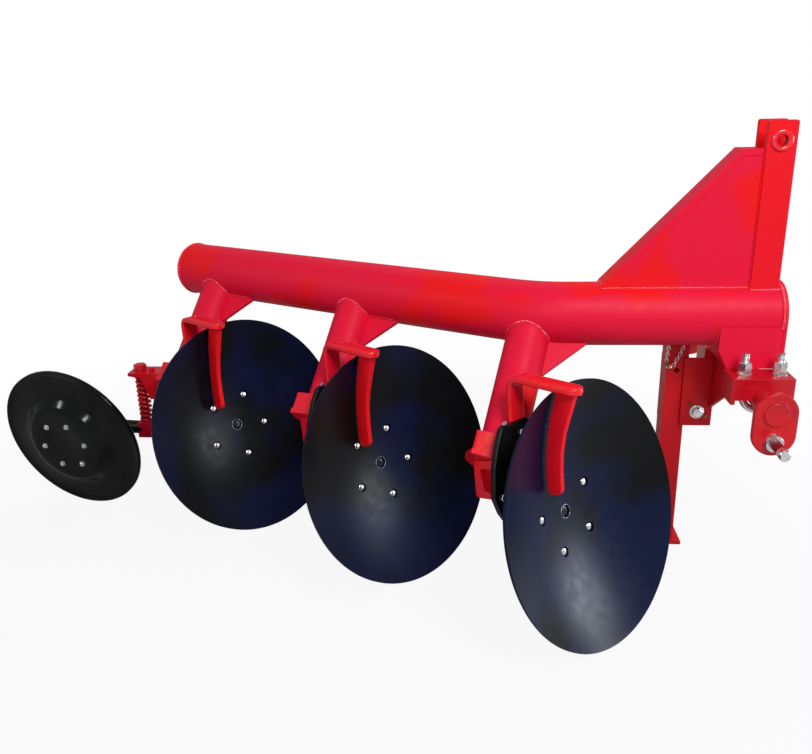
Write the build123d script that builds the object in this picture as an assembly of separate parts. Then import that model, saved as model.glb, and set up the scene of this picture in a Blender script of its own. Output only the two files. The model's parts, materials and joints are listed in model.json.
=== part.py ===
from build123d import *
import math
import os

# A mounted plough with three tilted discs under a bent pipe beam, a three-point hitch at the
# front and a sprung furrow wheel at the rear. It stands on its discs, its wheel and its stand.
# X points forward, Y to the plough's left and Z up. All sizes are millimetres.
# Places are first given from the ground below the rim centre of the front disc.

# Discs
disc_count = 3
disc_diameter = 660.0
disc_thickness = 6.0
dish_depth = 96.0
disc_angle = 48.1
disc_tilt = 16.8
disc_pitch = 568.0
disc_hole = 44.0

# Pipe beam
beam_diameter = 168.0
beam_wall = 8.0
beam_height = 731.0
beam_offset = 336.0
beam_angle = 28.9
beam_bend_x = -125.0
beam_bend_radius = 300.0
beam_front_x = 476.0
beam_rear_run = 1295.0
end_plate = 10.0

# Front plate that closes the beam and the saddle
front_plate_lip = 4.0

# Mast for the top link
mast_x = 397.0
mast_width = 70.0
mast_bar = 16.0
mast_gap = 56.0
mast_rise = 483.0
mast_corner = 6.0
top_link_hole = 25.8
top_link_x = 431.0
top_link_drop = 46.0
mast_ring = 46.0
mast_ring_height = 5.0

# Boxed stay behind the mast
stay_width = 72.0
stay_wall = 8.0
stay_rear_x = 28.0
stay_apex_x = 346.0
stay_drop = 66.0

# Saddle box under the front of the beam
saddle_plate = 12.0
saddle_half_width = 88.0
saddle_rear_x = 322.0
saddle_foot_x = 346.0
saddle_top_drop = 19.0
saddle_drop = 124.0
saddle_knee_drop = 76.0

# Cross shaft, its clamps and cranks
shaft_diameter = 60.0
shaft_x = 421.0
shaft_drop = 57.0
clamp_width = 152.0
clamp_shift = -6.0
clamp_depth = 82.0
clamp_wall = 16.0
clamp_lug = 11.0
ubolt_rod = 20.0
ubolt_span = 86.0
ubolt_rise = 55.0
nut_width = 30.0
nut_height = 32.0
hole_clearance = 0.5
hitch_span = 825.0
hitch_right_y = 75.0
crank_width = 104.0
crank_plate = 16.0
crank_throw = 72.0
crank_overlap = 36.0
crank_boss = 6.0
hitch_pin_diameter = 28.0
hitch_pin_length = 72.0
hitch_collar_diameter = 46.0
hitch_collar = 12.0
hitch_pin_chamfer = 3.0

# Standards, each in the frame of its disc: u level in the disc's plane, v up in that plane
# and w along the disc's axis towards its hollow side, from the bottom of the dish
standard_diameter = 114.0
standard_wall = 8.0
standard_foot_u = -88.0
standard_foot_v = 167.0
standard_beam_run = 18.0
gusset_run = 100.0
gusset_drop = 95.0
gusset_plate = 10.0
gusset_lip = 6.0
gusset_sink = 14.0

# Bearing housing and its carrier plate
flange_radius = 112.0
flange_back = 22.0
spindle_radius = 25.0
running_gap = 0.05
turning_gap = 6.0
carrier_plate = 16.0
housing_radius = 68.0
housing_back = 158.0
housing_floor = 12.0

carrier_corner = 18.0
carrier_outline = [
    (-127, 264),
    (-99, 254),
    (-47, 262),
    (-16, 244),
    (96, 60),
    (100, -36),
    (52, -96),
    (-44, -100),
    (-178, 30),
    (-196, 62),
    (-206, 104),
    (-186, 170),
    (-158, 222),
]

# Cast bracket: a socket and flange about the pipe, and below them a hollow yoke that grips the
# carrier plate. The socket's outline is along the beam and across it, the yoke's is w and v
socket_half = 62.0
socket_rear = 68.0
socket_front = 60.0
socket_height = 42.0
socket_seat = 6.0
socket_corner = 8.0
foot_flange = 14.0
flange_tip = 84.0
flange_tip_side = 10.0
yoke_u = -135.0
yoke_depth = 42.0
yoke_pocket = 26.0
yoke_outline = [(-146, 174), (-163, 82), (-156, 75), (-112, 72), (-92, 80), (-44, 84), (-44, 174)]
yoke_window = [(-131, 152), (-60, 152), (-60, 98), (-108, 88), (-130, 94)]
tie_low = 84.0
tie_high = 132.0
tie_back = 40.0

# Scraper arm and blade
arm_u_low = -90.0
arm_width = 48.0
arm_thickness = 14.0
arm_foot_v = 262.0
arm_corner_w = -22.0
arm_corner_v = 376.0
arm_corner_radius = 34.0
arm_tip_radius = 14.0
arm_tip_w = 170.0
arm_tip_v = 326.0
blade_gap = 10.0
blade_inner_v = 322.0
blade_top_w = 152.0
blade_tip_w = 46.0
blade_tip_v = 72.0
blade_mid_w = 72.0
blade_mid_v = 174.0
blade_tip_u = -64.0
blade_tip_width = 14.0
blade_mid_u = -72.0
blade_mid_width = 24.0

# Parking stand
leg_size = 60.0
leg_wall = 5.0
leg_x = 267.0
leg_top_drop = 31.0
foot_size = 100.0
foot_plate = 10.0
pin_hole = 14.0
pin_hole_z = 542.0
pin_hole_pitch = 90.0
sleeve_wall = 5.0
sleeve_gap = 0.1
sleeve_drop = 222.0
sleeve_height = 190.0
stand_plate = 10.0
stand_plate_left = 283.0
stand_plate_right = 368.0
stand_plate_drop = 227.0
stand_web = 10.0
stand_web_drop = 172.0
stand_web_reach = 30.0

# Furrow wheel and its sprung arm
wheel_radius = 249.0
wheel_x = -1608.0
wheel_y = 583.0
wheel_heading = 256.0
wheel_lean = 10.0
wheel_bore = 20.0
wheel_boss_back = 58.0
wheel_bore_depth = 24.0
arm_bar = 44.0
arm_back = 92.0
collar_x = -1408.0
collar_y = 720.0
collar_z = 230.0
collar_size = 52.0
spring_rod = 16.0
spring_outer = 42.0
spring_wire = 9.0
spring_relief = 5.0
spring_turns = 10
cap_top = 438.0
cap_plate = 10.0
cap_width = 76.0
cap_rear_x = -1438.0
cap_front_x = -1330.0
cap_side = 8.0
rod_head = 36.0
rod_head_height = 20.0
support_size = 46.0
support_start_x = -1362.0
support_x = -1222.0
support_y = 942.0
support_z = 374.0

# Worked out from the sizes above
disc_radius = disc_diameter / 2
dish_radius = (disc_radius**2 + dish_depth**2) / (2 * dish_depth)
beam_radius = beam_diameter / 2
mast_top = beam_height + mast_rise
top_link_z = mast_top - top_link_drop
stay_top = mast_top - stay_drop
saddle_front_x = beam_front_x
saddle_top = beam_height - saddle_top_drop
saddle_low = beam_height - saddle_drop
saddle_knee_z = beam_height - saddle_knee_drop
shaft_z = saddle_low - shaft_drop
ubolt_top = saddle_low + ubolt_rise
leg_top = beam_height - leg_top_drop
sleeve_low = saddle_low - sleeve_drop
stand_plate_low = saddle_low - stand_plate_drop
leg_hole = leg_size / 2 + sleeve_gap
leg_y = beam_offset + saddle_half_width + leg_hole
angle = math.radians(disc_angle)
tilt = math.radians(disc_tilt)
lead = math.radians(beam_angle)
disc_axis = Vector(
    math.sin(angle) * math.cos(tilt), -math.cos(angle) * math.cos(tilt), math.sin(tilt)
)
disc_level = Vector(math.cos(angle), math.sin(angle), 0)
beam_line = Vector(-math.cos(lead), math.sin(lead), 0)
beam_bend = Vector(beam_bend_x, beam_offset, beam_height)
carrier_front = flange_back + turning_gap
carrier_back = carrier_front + carrier_plate
standard_w = -(carrier_back + standard_diameter / 2)

parts = {}


def dish_face(offset, radius):
    """Height w of a dish face at a radius, offset outwards from the hollow face."""
    return dish_radius - math.sqrt((dish_radius + offset) ** 2 - radius**2)


rim_width = dish_face(0, disc_radius) - dish_face(disc_thickness, disc_radius)
rim_height = disc_radius * math.cos(tilt) + rim_width * math.sin(tilt)


def disc_frame(index):
    """Frame of one disc at the bottom of its dish, with Z along the disc's axis."""
    step = disc_pitch * index
    rim_centre = Vector(0, 0, rim_height) + beam_line * step
    return Plane(
        origin=rim_centre - disc_axis * dish_depth, x_dir=disc_level, z_dir=disc_axis
    )


def block(x0, x1, y0, y1, z0, z1):
    """Box between two corners."""
    corner = Vector((x0 + x1) / 2, (y0 + y1) / 2, (z0 + z1) / 2)
    return Pos(corner) * Box(abs(x1 - x0), abs(y1 - y0), abs(z1 - z0))


def rod(start, end, radius):
    """Round bar between two points."""
    start = Vector(start)
    run = Vector(end) - start
    return extrude(Plane(start, z_dir=run) * Circle(radius), run.length)


def upright(outline, y0, y1):
    """Plate with its outline in X and Z, between two places across."""
    face = Plane.XZ * make_face(Polyline(*outline, close=True))
    return Pos(0, y1, 0) * extrude(face, y1 - y0)


def beam_body(radius):
    """Solid along the beam's line at the given radius."""
    rear = beam_bend + beam_line * beam_rear_run
    front = Vector(beam_front_x, beam_offset, beam_height)
    path = FilletPolyline(rear, beam_bend, front, radius=beam_bend_radius)
    return sweep(Plane(path @ 0, z_dir=path % 0) * Circle(radius), path=path)


beam_outer = beam_body(beam_radius)


def make_beam():
    """Bent pipe with a cap on its rear end and a plate on its front end."""
    parts["main_beam"] = beam_outer - beam_body(beam_radius - beam_wall)
    rear = beam_bend + beam_line * beam_rear_run
    cap = rod(rear, rear + beam_line * end_plate, beam_radius)
    parts["beam_rear_cap"] = cap
    half = saddle_half_width
    front = Plane(origin=(beam_front_x, beam_offset, beam_height), x_dir=(0, 1, 0), z_dir=(1, 0, 0))
    face = front * Circle(beam_radius + front_plate_lip)
    face += front * Pos(0, (saddle_low - beam_height) / 2) * Rectangle(
        2 * half, beam_height - saddle_low
    )
    parts["beam_front_plate"] = extrude(face, end_plate)


def make_mast():
    """Two upright bars for the top link and the boxed stay behind them."""
    gap = mast_gap / 2
    inner_faces = {"right": -1, "left": 1}
    for side, sign in inner_faces.items():
        near = beam_offset + sign * gap
        far = near + sign * mast_bar
        bar = block(
            mast_x, mast_x + mast_width, near, far, beam_height, mast_top
        )
        bar = fillet(bar.edges().filter_by(Axis.Y).group_by(Axis.Z)[-1], mast_corner)
        eye = Vector(top_link_x, near, top_link_z)
        ring_face = eye + Vector(0, sign * (mast_bar + mast_ring_height), 0)
        bar += rod(eye, ring_face, mast_ring / 2)
        bar -= rod(eye - Vector(0, sign, 0), ring_face + Vector(0, sign, 0), top_link_hole / 2)
        parts[f"mast_bar_{side}"] = bar - beam_outer
    outline = [
        (stay_rear_x, beam_height),
        (stay_rear_x, beam_height + beam_radius),
        (stay_apex_x, stay_top),
        (mast_x, stay_top),
        (mast_x, beam_height),
    ]
    slope = math.atan2(stay_top - beam_height - beam_radius, stay_apex_x - stay_rear_x)
    drop = stay_wall / math.cos(slope)
    low = beam_height - 1
    inner = [
        (stay_rear_x + stay_wall, low),
        (stay_rear_x + stay_wall, beam_height + beam_radius - drop + stay_wall),
        (stay_apex_x + stay_wall, stay_top - drop),
        (mast_x - stay_wall, stay_top - drop),
        (mast_x - stay_wall, low),
    ]
    half = stay_width / 2
    inside = half - stay_wall
    stay = upright(outline, beam_offset - half, beam_offset + half)
    stay -= upright(inner, beam_offset - inside, beam_offset + inside)
    parts["mast_stay"] = stay - beam_outer


def make_saddle():
    """Welded box under the beam that carries the cross shaft."""
    outline = [
        (saddle_rear_x, saddle_top),
        (saddle_front_x, saddle_top),
        (saddle_front_x, saddle_low),
        (saddle_foot_x, saddle_low),
        (saddle_rear_x, saddle_knee_z),
    ]
    low = beam_offset - saddle_half_width
    high = beam_offset + saddle_half_width
    box = upright(outline, low, high)
    inner = block(
        saddle_foot_x + saddle_plate,
        saddle_front_x - saddle_plate,
        low + saddle_plate,
        high - saddle_plate,
        saddle_low + saddle_plate,
        saddle_top,
    )
    parts["hitch_saddle"] = box - inner - beam_outer


def make_shaft_clamp(side, sign):
    """Capped block on the saddle's side, with the bent bolt that draws the shaft into it."""
    near = beam_offset + sign * saddle_half_width
    far = near + sign * clamp_depth
    x0 = shaft_x - clamp_width / 2 + clamp_shift
    x1 = x0 + clamp_width
    body = block(x0, x1, near, far, shaft_z, saddle_low)
    body += block(x0, x0 + clamp_lug, near, far, shaft_z - clamp_lug, shaft_z)
    body += block(x1 - clamp_lug, x1, near, far, shaft_z - clamp_lug, shaft_z)
    inner_x0 = x0 + clamp_lug
    inner_x1 = x1 - clamp_lug
    wall = sign * clamp_wall
    body -= block(
        inner_x0, inner_x1, near + wall, far - wall, shaft_z - 1, saddle_low - clamp_wall
    )
    body -= rod((shaft_x, near - sign, shaft_z), (shaft_x, far + sign, shaft_z), shaft_diameter / 2)
    middle = (near + far) / 2
    half = ubolt_span / 2
    bend_z = shaft_z - shaft_diameter / 2 + half - ubolt_rod / 2
    for leg in (-half, half):
        low = (shaft_x + leg, middle, bend_z)
        high = (shaft_x + leg, middle, ubolt_top)
        body -= rod(low, high, ubolt_rod / 2 + hole_clearance)
    parts[f"shaft_clamp_{side}"] = body
    path = Line((shaft_x - half, middle, ubolt_top), (shaft_x - half, middle, bend_z))
    path += ThreePointArc(
        (shaft_x - half, middle, bend_z),
        (shaft_x, middle, bend_z - half),
        (shaft_x + half, middle, bend_z),
    )
    path += Line((shaft_x + half, middle, bend_z), (shaft_x + half, middle, ubolt_top))
    start = Vector(shaft_x - half, middle, ubolt_top)
    bolt = sweep(Plane(start, z_dir=(0, 0, -1)) * Circle(ubolt_rod / 2), path=path)
    nut = RegularPolygon(nut_width / 2, 6, major_radius=False)
    for leg in (-half, half):
        bolt += Pos(shaft_x + leg, middle, saddle_low) * extrude(nut, nut_height)
    parts[f"clamp_bolt_{side}"] = bolt


def make_hitch():
    """Cross shaft with a crank plate and a lower hitch pin at each end."""
    right = hitch_right_y
    left = hitch_right_y + hitch_span
    inner = crank_plate
    parts["cross_shaft"] = rod(
        (shaft_x, right + inner, shaft_z), (shaft_x, left - inner, shaft_z), shaft_diameter / 2
    )
    pin_z = shaft_z - crank_throw
    half = crank_width / 2
    low = pin_z + half - crank_overlap
    for side, shoulder, out in (("right", right, -1), ("left", left, 1)):
        back = shoulder - out * crank_plate
        plate = rod((shaft_x, back, shaft_z), (shaft_x, shoulder, shaft_z), half)
        plate += rod((shaft_x, back, low), (shaft_x, shoulder, low), half)
        plate += block(shaft_x - half, shaft_x + half, back, shoulder, low, shaft_z)
        face = shoulder + out * crank_boss
        plate += rod((shaft_x, shoulder, shaft_z), (shaft_x, face, shaft_z), shaft_diameter / 2)
        parts[f"crank_plate_{side}"] = plate
        collar_end = shoulder + out * hitch_collar
        tip = collar_end + out * hitch_pin_length
        pin = rod((shaft_x, shoulder, pin_z), (shaft_x, tip, pin_z), hitch_pin_diameter / 2)
        tip_edge = pin.edges().filter_by(GeomType.CIRCLE).sort_by(Axis.Y)
        pin = chamfer(tip_edge[0] if out < 0 else tip_edge[-1], hitch_pin_chamfer)
        pin += rod(
            (shaft_x, shoulder, pin_z), (shaft_x, collar_end, pin_z), hitch_collar_diameter / 2
        )
        parts[f"hitch_pin_{side}"] = pin


def beam_forward(index):
    """Direction of the beam ahead of one standard."""
    return Vector(1, 0, 0) if index == 0 else beam_line * -1


def make_standard(index):
    """Pipe leg from the beam down behind one disc, with its triangular gusset."""
    frame = disc_frame(index)
    top = beam_bend + beam_line * (standard_beam_run + disc_pitch * index)
    foot = frame.from_local_coords(Vector(standard_foot_u, standard_foot_v, standard_w))
    pipe = rod(foot, top, standard_diameter / 2)
    inner = rod(foot, top, standard_diameter / 2 - standard_wall)
    down = (foot - top).normalized()
    forward = beam_forward(index)
    sheet = Plane(origin=top, x_dir=forward, z_dir=forward.cross(down))
    slope = down.dot(forward) / down.dot(sheet.y_dir)
    skin = standard_diameter / 2
    seat = beam_radius - gusset_sink
    low = beam_radius + gusset_drop
    reach = slope * beam_radius + skin + gusset_run
    outline = Polyline(
        (slope * seat, seat),
        (reach, seat),
        (reach, beam_radius + gusset_lip),
        (slope * low + skin + gusset_lip, low),
        (slope * low, low),
        close=True,
    )
    plate = extrude(sheet * make_face(outline), gusset_plate / 2, both=True)
    leg = pipe + plate - inner
    parts[f"standard_{index + 1}"] = leg - beam_outer
    return down


def make_disc(index):
    """Dished disc and the flanged spindle that turns with it."""
    frame = disc_frame(index)
    hole = disc_hole / 2
    middle = (hole + disc_radius) / 2
    inner = ThreePointArc(
        (hole, dish_face(0, hole)),
        (middle, dish_face(0, middle)),
        (disc_radius, dish_face(0, disc_radius)),
    )
    outer = ThreePointArc(
        (disc_radius, dish_face(disc_thickness, disc_radius)),
        (middle, dish_face(disc_thickness, middle)),
        (hole, dish_face(disc_thickness, hole)),
    )
    section = make_face([inner, Line(inner @ 1, outer @ 0), outer, Line(outer @ 1, inner @ 0)])
    disc = revolve(Plane.XZ * section, Axis.Z)
    parts[f"disc_{index + 1}"] = frame.location * disc
    seat_middle = (hole + flange_radius) / 2
    plug = hole - hole_clearance
    seat = ThreePointArc(
        (flange_radius, dish_face(disc_thickness, flange_radius)),
        (seat_middle, dish_face(disc_thickness, seat_middle)),
        (plug, dish_face(disc_thickness, plug)),
    )
    rest = Polyline(
        seat @ 1,
        (plug, disc_thickness),
        (0, disc_thickness),
        (0, -housing_back + housing_floor + turning_gap),
        (spindle_radius, -housing_back + housing_floor + turning_gap),
        (spindle_radius, -flange_back),
        (flange_radius, -flange_back),
        seat @ 0,
    )
    spindle = revolve(Plane.XZ * make_face([seat, rest]), Axis.Z)
    parts[f"disc_spindle_{index + 1}"] = frame.location * spindle


def make_housing(index):
    """Bearing housing behind the disc, on the carrier plate that holds it."""
    frame = disc_frame(index)
    plate = Pos(0, 0, -carrier_back) * extrude(
        make_face(Polyline(*carrier_outline, close=True)), carrier_plate
    )
    plate = fillet(plate.edges().filter_by(Axis.Z), carrier_corner)
    body = rod((0, 0, -housing_back), (0, 0, -carrier_back), housing_radius)
    body = fillet(body.edges().sort_by(Axis.Z)[0], 10)
    bore = rod(
        (0, 0, -housing_back + housing_floor), (0, 0, 0), spindle_radius + running_gap
    )
    parts[f"disc_housing_{index + 1}"] = frame.location * (plate + body - bore)


def make_bracket(index, down):
    """Casting at the foot of the standard that carries the bearing housing."""
    frame = disc_frame(index)
    local_down = frame.to_local_coords(frame.origin + down)
    along = frame.to_local_coords(frame.origin + beam_forward(index))
    along = (along - local_down * along.dot(local_down)).normalized()
    foot = Vector(standard_foot_u, standard_foot_v, standard_w)
    seat = Plane(origin=foot, x_dir=along, z_dir=local_down)
    middle = (socket_front - socket_rear) / 2
    length = socket_front + socket_rear
    outline = RectangleRounded(length, 2 * socket_half, socket_corner)
    socket = extrude(seat * Pos(middle, 0, -socket_height) * outline, socket_height + socket_seat)
    lip = [
        (-socket_rear, socket_half),
        (-flange_tip, flange_tip_side),
        (-flange_tip, -flange_tip_side),
        (-socket_rear, -socket_half),
        (socket_front, -socket_half),
        (socket_front, socket_half),
    ]
    flange = seat * Pos(0, 0, socket_seat) * make_face(Polyline(*lip, close=True))
    casting = socket + extrude(flange, foot_flange)
    yoke_plane = Plane(origin=(yoke_u, 0, 0), x_dir=(0, 0, 1), z_dir=(-1, 0, 0))
    yoke = extrude(yoke_plane * make_face(Polyline(*yoke_outline, close=True)), -yoke_depth)
    window = extrude(yoke_plane * make_face(Polyline(*yoke_window, close=True)), -yoke_pocket)
    inner = yoke_u + yoke_depth
    tie = block(inner - 1, -spindle_radius, tie_low, tie_high, -carrier_back - tie_back, -carrier_back)
    casting += yoke - window + tie
    casting -= rod(foot, foot - local_down * flange_radius * 2, standard_diameter / 2)
    casting -= rod((0, 0, -housing_back - tie_back), (0, 0, 0), housing_radius)
    reach = carrier_back + 2 * standard_diameter
    casting -= Pos(foot.X, foot.Y, -carrier_back + reach / 2) * Box(3 * reach, 3 * reach, reach)
    parts[f"disc_bracket_{index + 1}"] = frame.location * casting


def side_face(u, points, corners=None):
    """Face in one disc's plane of w and v, at a given u, with chosen corners rounded."""
    side = Plane(origin=(u, 0, 0), x_dir=(0, 0, 1), z_dir=(-1, 0, 0))
    face = make_face(Polyline(*points, close=True))
    for place, radius in corners or []:
        near = min(face.vertices(), key=lambda vertex: (Vector(vertex) - Vector(*place)).length)
        face = fillet(near, radius)
    return side * face


def make_scraper(index):
    """Hooked arm over the disc's rim and the blade that hangs in the dish."""
    frame = disc_frame(index)
    foot_w = -carrier_back
    thick = arm_thickness
    outer_corner = (arm_corner_w, arm_corner_v)
    inner_corner = (arm_corner_w + thick, arm_corner_v - thick - gusset_lip)
    outline = [
        (foot_w, arm_foot_v),
        outer_corner,
        (arm_tip_w, arm_tip_v),
        (arm_tip_w - 4, arm_tip_v - thick),
        inner_corner,
        (foot_w + carrier_plate, arm_foot_v),
    ]
    corners = [(outer_corner, arm_corner_radius), (inner_corner, arm_corner_radius - thick)]
    arm = extrude(side_face(arm_u_low + arm_width, outline, corners), arm_width)
    tip = arm.edges().filter_by(GeomType.LINE).sort_by(Axis.Z)[-12:]
    tip = [edge for edge in tip if abs(edge.tangent_at(0).Y) > 0.9]
    parts[f"scraper_arm_{index + 1}"] = frame.location * fillet(tip, arm_tip_radius)
    outer_u = arm_u_low
    reach = math.sqrt((dish_radius - blade_gap) ** 2 - outer_u**2)

    def dish_edge(v):
        return (dish_radius - math.sqrt(reach**2 - v**2), v)

    slope = (inner_corner[1] - arm_tip_v + thick) / (arm_tip_w - 4 - inner_corner[0])

    def arm_under(w):
        return (w, inner_corner[1] - slope * (w - inner_corner[0]))

    top_left = dish_edge(blade_inner_v)
    inner = ThreePointArc(top_left, dish_edge(blade_mid_v), dish_edge(blade_tip_v))
    left_top = arm_under(top_left[0])
    right_top = arm_under(blade_top_w)
    outer = ThreePointArc((blade_tip_w, blade_tip_v), (blade_mid_w, blade_mid_v), right_top)
    lines = [
        inner,
        Line(inner @ 1, outer @ 0),
        outer,
        Line(right_top, left_top),
        Line(left_top, top_left),
    ]
    side = Plane(origin=(arm_u_low + arm_width, 0, 0), x_dir=(0, 0, 1), z_dir=(-1, 0, 0))
    blade = extrude(side * make_face(lines), arm_width)
    front = [
        (arm_u_low, arm_corner_v),
        (arm_u_low, blade_inner_v),
        (blade_mid_u, blade_mid_v),
        (blade_tip_u, 0),
        (blade_tip_u + blade_tip_width, 0),
        (blade_mid_u + blade_mid_width, blade_mid_v),
        (arm_u_low + arm_width, blade_inner_v),
        (arm_u_low + arm_width, arm_corner_v),
    ]
    blade &= extrude(make_face(Polyline(*front, close=True)), 2 * arm_tip_w, both=True)
    parts[f"scraper_blade_{index + 1}"] = frame.location * blade


def make_stand():
    """Bracket and sleeve behind the saddle, and the leg that slides in the sleeve."""
    hole = leg_hole
    outer = hole + sleeve_wall
    plate_back = leg_y - hole
    plate_front = plate_back - stand_plate
    sleeve_high = sleeve_low + sleeve_height
    sleeve = block(leg_x - outer, leg_x + outer, leg_y, leg_y + outer, sleeve_low, sleeve_high)
    sleeve += block(leg_x, leg_x + outer, plate_back, leg_y, sleeve_low, sleeve_high)
    sleeve -= block(leg_x - hole, leg_x + hole, plate_back, leg_y + hole, 0, saddle_top)
    plate = block(
        stand_plate_left, stand_plate_right, plate_front, plate_back, stand_plate_low, saddle_low
    )
    web_x = stand_plate_right - stand_web
    web = Plane(origin=(web_x, 0, 0), x_dir=(0, 1, 0), z_dir=(1, 0, 0))
    web_outline = [
        (plate_front, saddle_low),
        (plate_front, saddle_low - stand_web_drop),
        (beam_offset - stand_web_reach, saddle_low),
    ]
    rib = extrude(web * make_face(Polyline(*web_outline, close=True)), stand_web)
    parts["stand_bracket"] = sleeve + plate + rib
    half = leg_size / 2
    inside = half - leg_wall
    leg = block(leg_x - half, leg_x + half, leg_y - half, leg_y + half, foot_plate, leg_top)
    leg -= block(
        leg_x - inside, leg_x + inside, leg_y - inside, leg_y + inside, foot_plate, leg_top
    )
    for height in (pin_hole_z, pin_hole_z + pin_hole_pitch):
        leg -= rod(
            (leg_x, leg_y - leg_size, height), (leg_x, leg_y + leg_size, height), pin_hole / 2
        )
    leg += Pos(leg_x, leg_y, foot_plate / 2) * Box(foot_size, foot_size, foot_plate)
    parts["stand_leg"] = leg


wheel_profile = [
    (0, 42),
    (88, 42),
    (104, 34),
    (112, 8),
    (228, 0),
    (wheel_radius - 6, 6),
    (wheel_radius, 4),
    (wheel_radius, -8),
    (wheel_radius - 8, -8),
    (226, -8),
    (106, 0),
    (96, 28),
    (40, 32),
    (38, -wheel_boss_back),
    (wheel_bore + running_gap, -wheel_boss_back),
    (wheel_bore + running_gap, wheel_bore_depth),
    (0, wheel_bore_depth),
]


def wheel_frame():
    """Frame of the furrow wheel, with Z towards its outer face, and the wheel on the ground."""
    heading = math.radians(wheel_heading)
    lean = math.radians(wheel_lean)
    outward = Vector(
        math.cos(heading) * math.cos(lean), math.sin(heading) * math.cos(lean), -math.sin(lean)
    )
    reach = [r * math.cos(lean) + w * math.sin(lean) for r, w in wheel_profile]
    level = Vector(-math.sin(heading), math.cos(heading), 0)
    return Plane(origin=(wheel_x, wheel_y, max(reach)), x_dir=level, z_dir=outward)


def make_wheel():
    """Plain furrow wheel, its axle and arm, and the sprung collar that carries them."""
    frame = wheel_frame()
    section = make_face(Polyline(*wheel_profile, close=True))
    parts["furrow_wheel"] = frame.location * revolve(Plane.XZ * section, Axis.Z)
    back = frame.from_local_coords(Vector(0, 0, -arm_back))
    tip = frame.from_local_coords(Vector(0, 0, wheel_bore_depth - turning_gap))
    collar = Vector(collar_x, collar_y, collar_z)
    bar = rod(back, collar, arm_bar / 2)
    far = frame.from_local_coords(Vector(0, 0, -arm_back - arm_bar / 2))
    parts["wheel_arm"] = bar + rod(far, tip, wheel_bore)
    half = collar_size / 2
    low = collar_z - half
    high = collar_z + half
    body = block(collar_x - half, collar_x + half, collar_y - half, collar_y + half, low, high)
    body += rod((collar_x, collar_y, high), (collar_x, collar_y, cap_top), spring_rod / 2)
    body += rod(
        (collar_x, collar_y, cap_top),
        (collar_x, collar_y, cap_top + rod_head_height),
        rod_head / 2,
    )
    parts["wheel_collar"] = body - bar
    spring_high = cap_top - cap_plate
    pitch = (spring_high - high) / spring_turns
    skin = spring_outer / 2
    section = [(skin - spring_wire, high), (skin - spring_relief, high)]
    for turn in range(spring_turns):
        section.append((skin, high + pitch * (turn + 0.5)))
        section.append((skin - spring_relief, high + pitch * (turn + 1)))
    section.append((skin - spring_wire, spring_high))
    coil = revolve(Plane.XZ * make_face(Polyline(*section, close=True)), Axis.Z)
    parts["wheel_spring"] = Pos(collar_x, collar_y, 0) * coil


def make_wheel_support():
    """Channel cap over the spring and the square pipe that holds it below the beam."""
    half = cap_width / 2
    low = collar_y - half
    high = collar_y + half
    outline = [
        (cap_rear_x, cap_top),
        (cap_front_x, cap_top),
        (cap_front_x, support_z - support_size / 2),
        (cap_front_x - 40, support_z - support_size / 2 - 4),
        (collar_x + 10, cap_top - 17),
        (cap_rear_x, cap_top - cap_plate),
    ]
    cap = upright(outline, low, high)
    cap -= block(
        cap_rear_x - 1, cap_front_x - cap_side, low + cap_side, high - cap_side, 0, cap_top - cap_plate
    )
    hole = spring_rod / 2 + hole_clearance
    cap -= rod((collar_x, collar_y, 0), (collar_x, collar_y, cap_top), hole)
    parts["spring_cap"] = cap
    size = support_size
    start = Vector(support_start_x, collar_y, support_z)
    corner = Vector(support_x, support_y, support_z)
    run = corner - start
    along = run.normalized()
    arm = Plane(start, x_dir=(0, 0, 1), z_dir=along)
    support = extrude(arm * Rectangle(size, size), run.length + size / 2)
    support -= block(cap_rear_x, cap_front_x, low - size, high, 0, beam_height)
    post = Plane(corner - Vector(0, 0, size / 2), x_dir=along, z_dir=(0, 0, 1))
    support += extrude(post * Rectangle(size, size), beam_height - support_z + size / 2)
    parts["wheel_support"] = support - beam_outer


def make_all():
    """Every piece of the plough."""
    make_beam()
    make_mast()
    make_saddle()
    make_shaft_clamp("right", -1)
    make_shaft_clamp("left", 1)
    make_hitch()
    for index in range(disc_count):
        down = make_standard(index)
        make_housing(index)
        make_bracket(index, down)
        make_disc(index)
        make_scraper(index)
    make_stand()
    make_wheel()
    make_wheel_support()


make_all()

# The origin is on the ground at the middle of the footprint
outer_box = Compound(children=[Compound(shape.solids()) for shape in parts.values()]).bounding_box()
origin = Vector(
    (outer_box.min.X + outer_box.max.X) / 2, (outer_box.min.Y + outer_box.max.Y) / 2, 0
)
os.makedirs("parts", exist_ok=True)
for name, shape in parts.items():
    solids = shape.solids()
    moved = Pos(-origin.X, -origin.Y, 0) * (solids[0] if len(solids) == 1 else Compound(solids))
    export_step(moved, f"parts/{name}.step")
print("origin", round(origin.X, 3), round(origin.Y, 3))
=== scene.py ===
# %% [markdown]
# # A mounted disc plough
# Three dished discs hang under a bent pipe beam. A boxed mast and a clamped cross shaft couple
# the plough to a tractor, a sprung furrow wheel steadies its rear, and a stand holds its front.
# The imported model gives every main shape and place. This lesson builds on it: it keeps those
# shapes, rounds their edges, adds the welds, bolts, spring and chain, and paints everything.

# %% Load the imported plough
import json
import math

import bmesh
import bpy
from mathutils import Matrix, Vector
from mathutils.bvhtree import BVHTree

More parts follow.
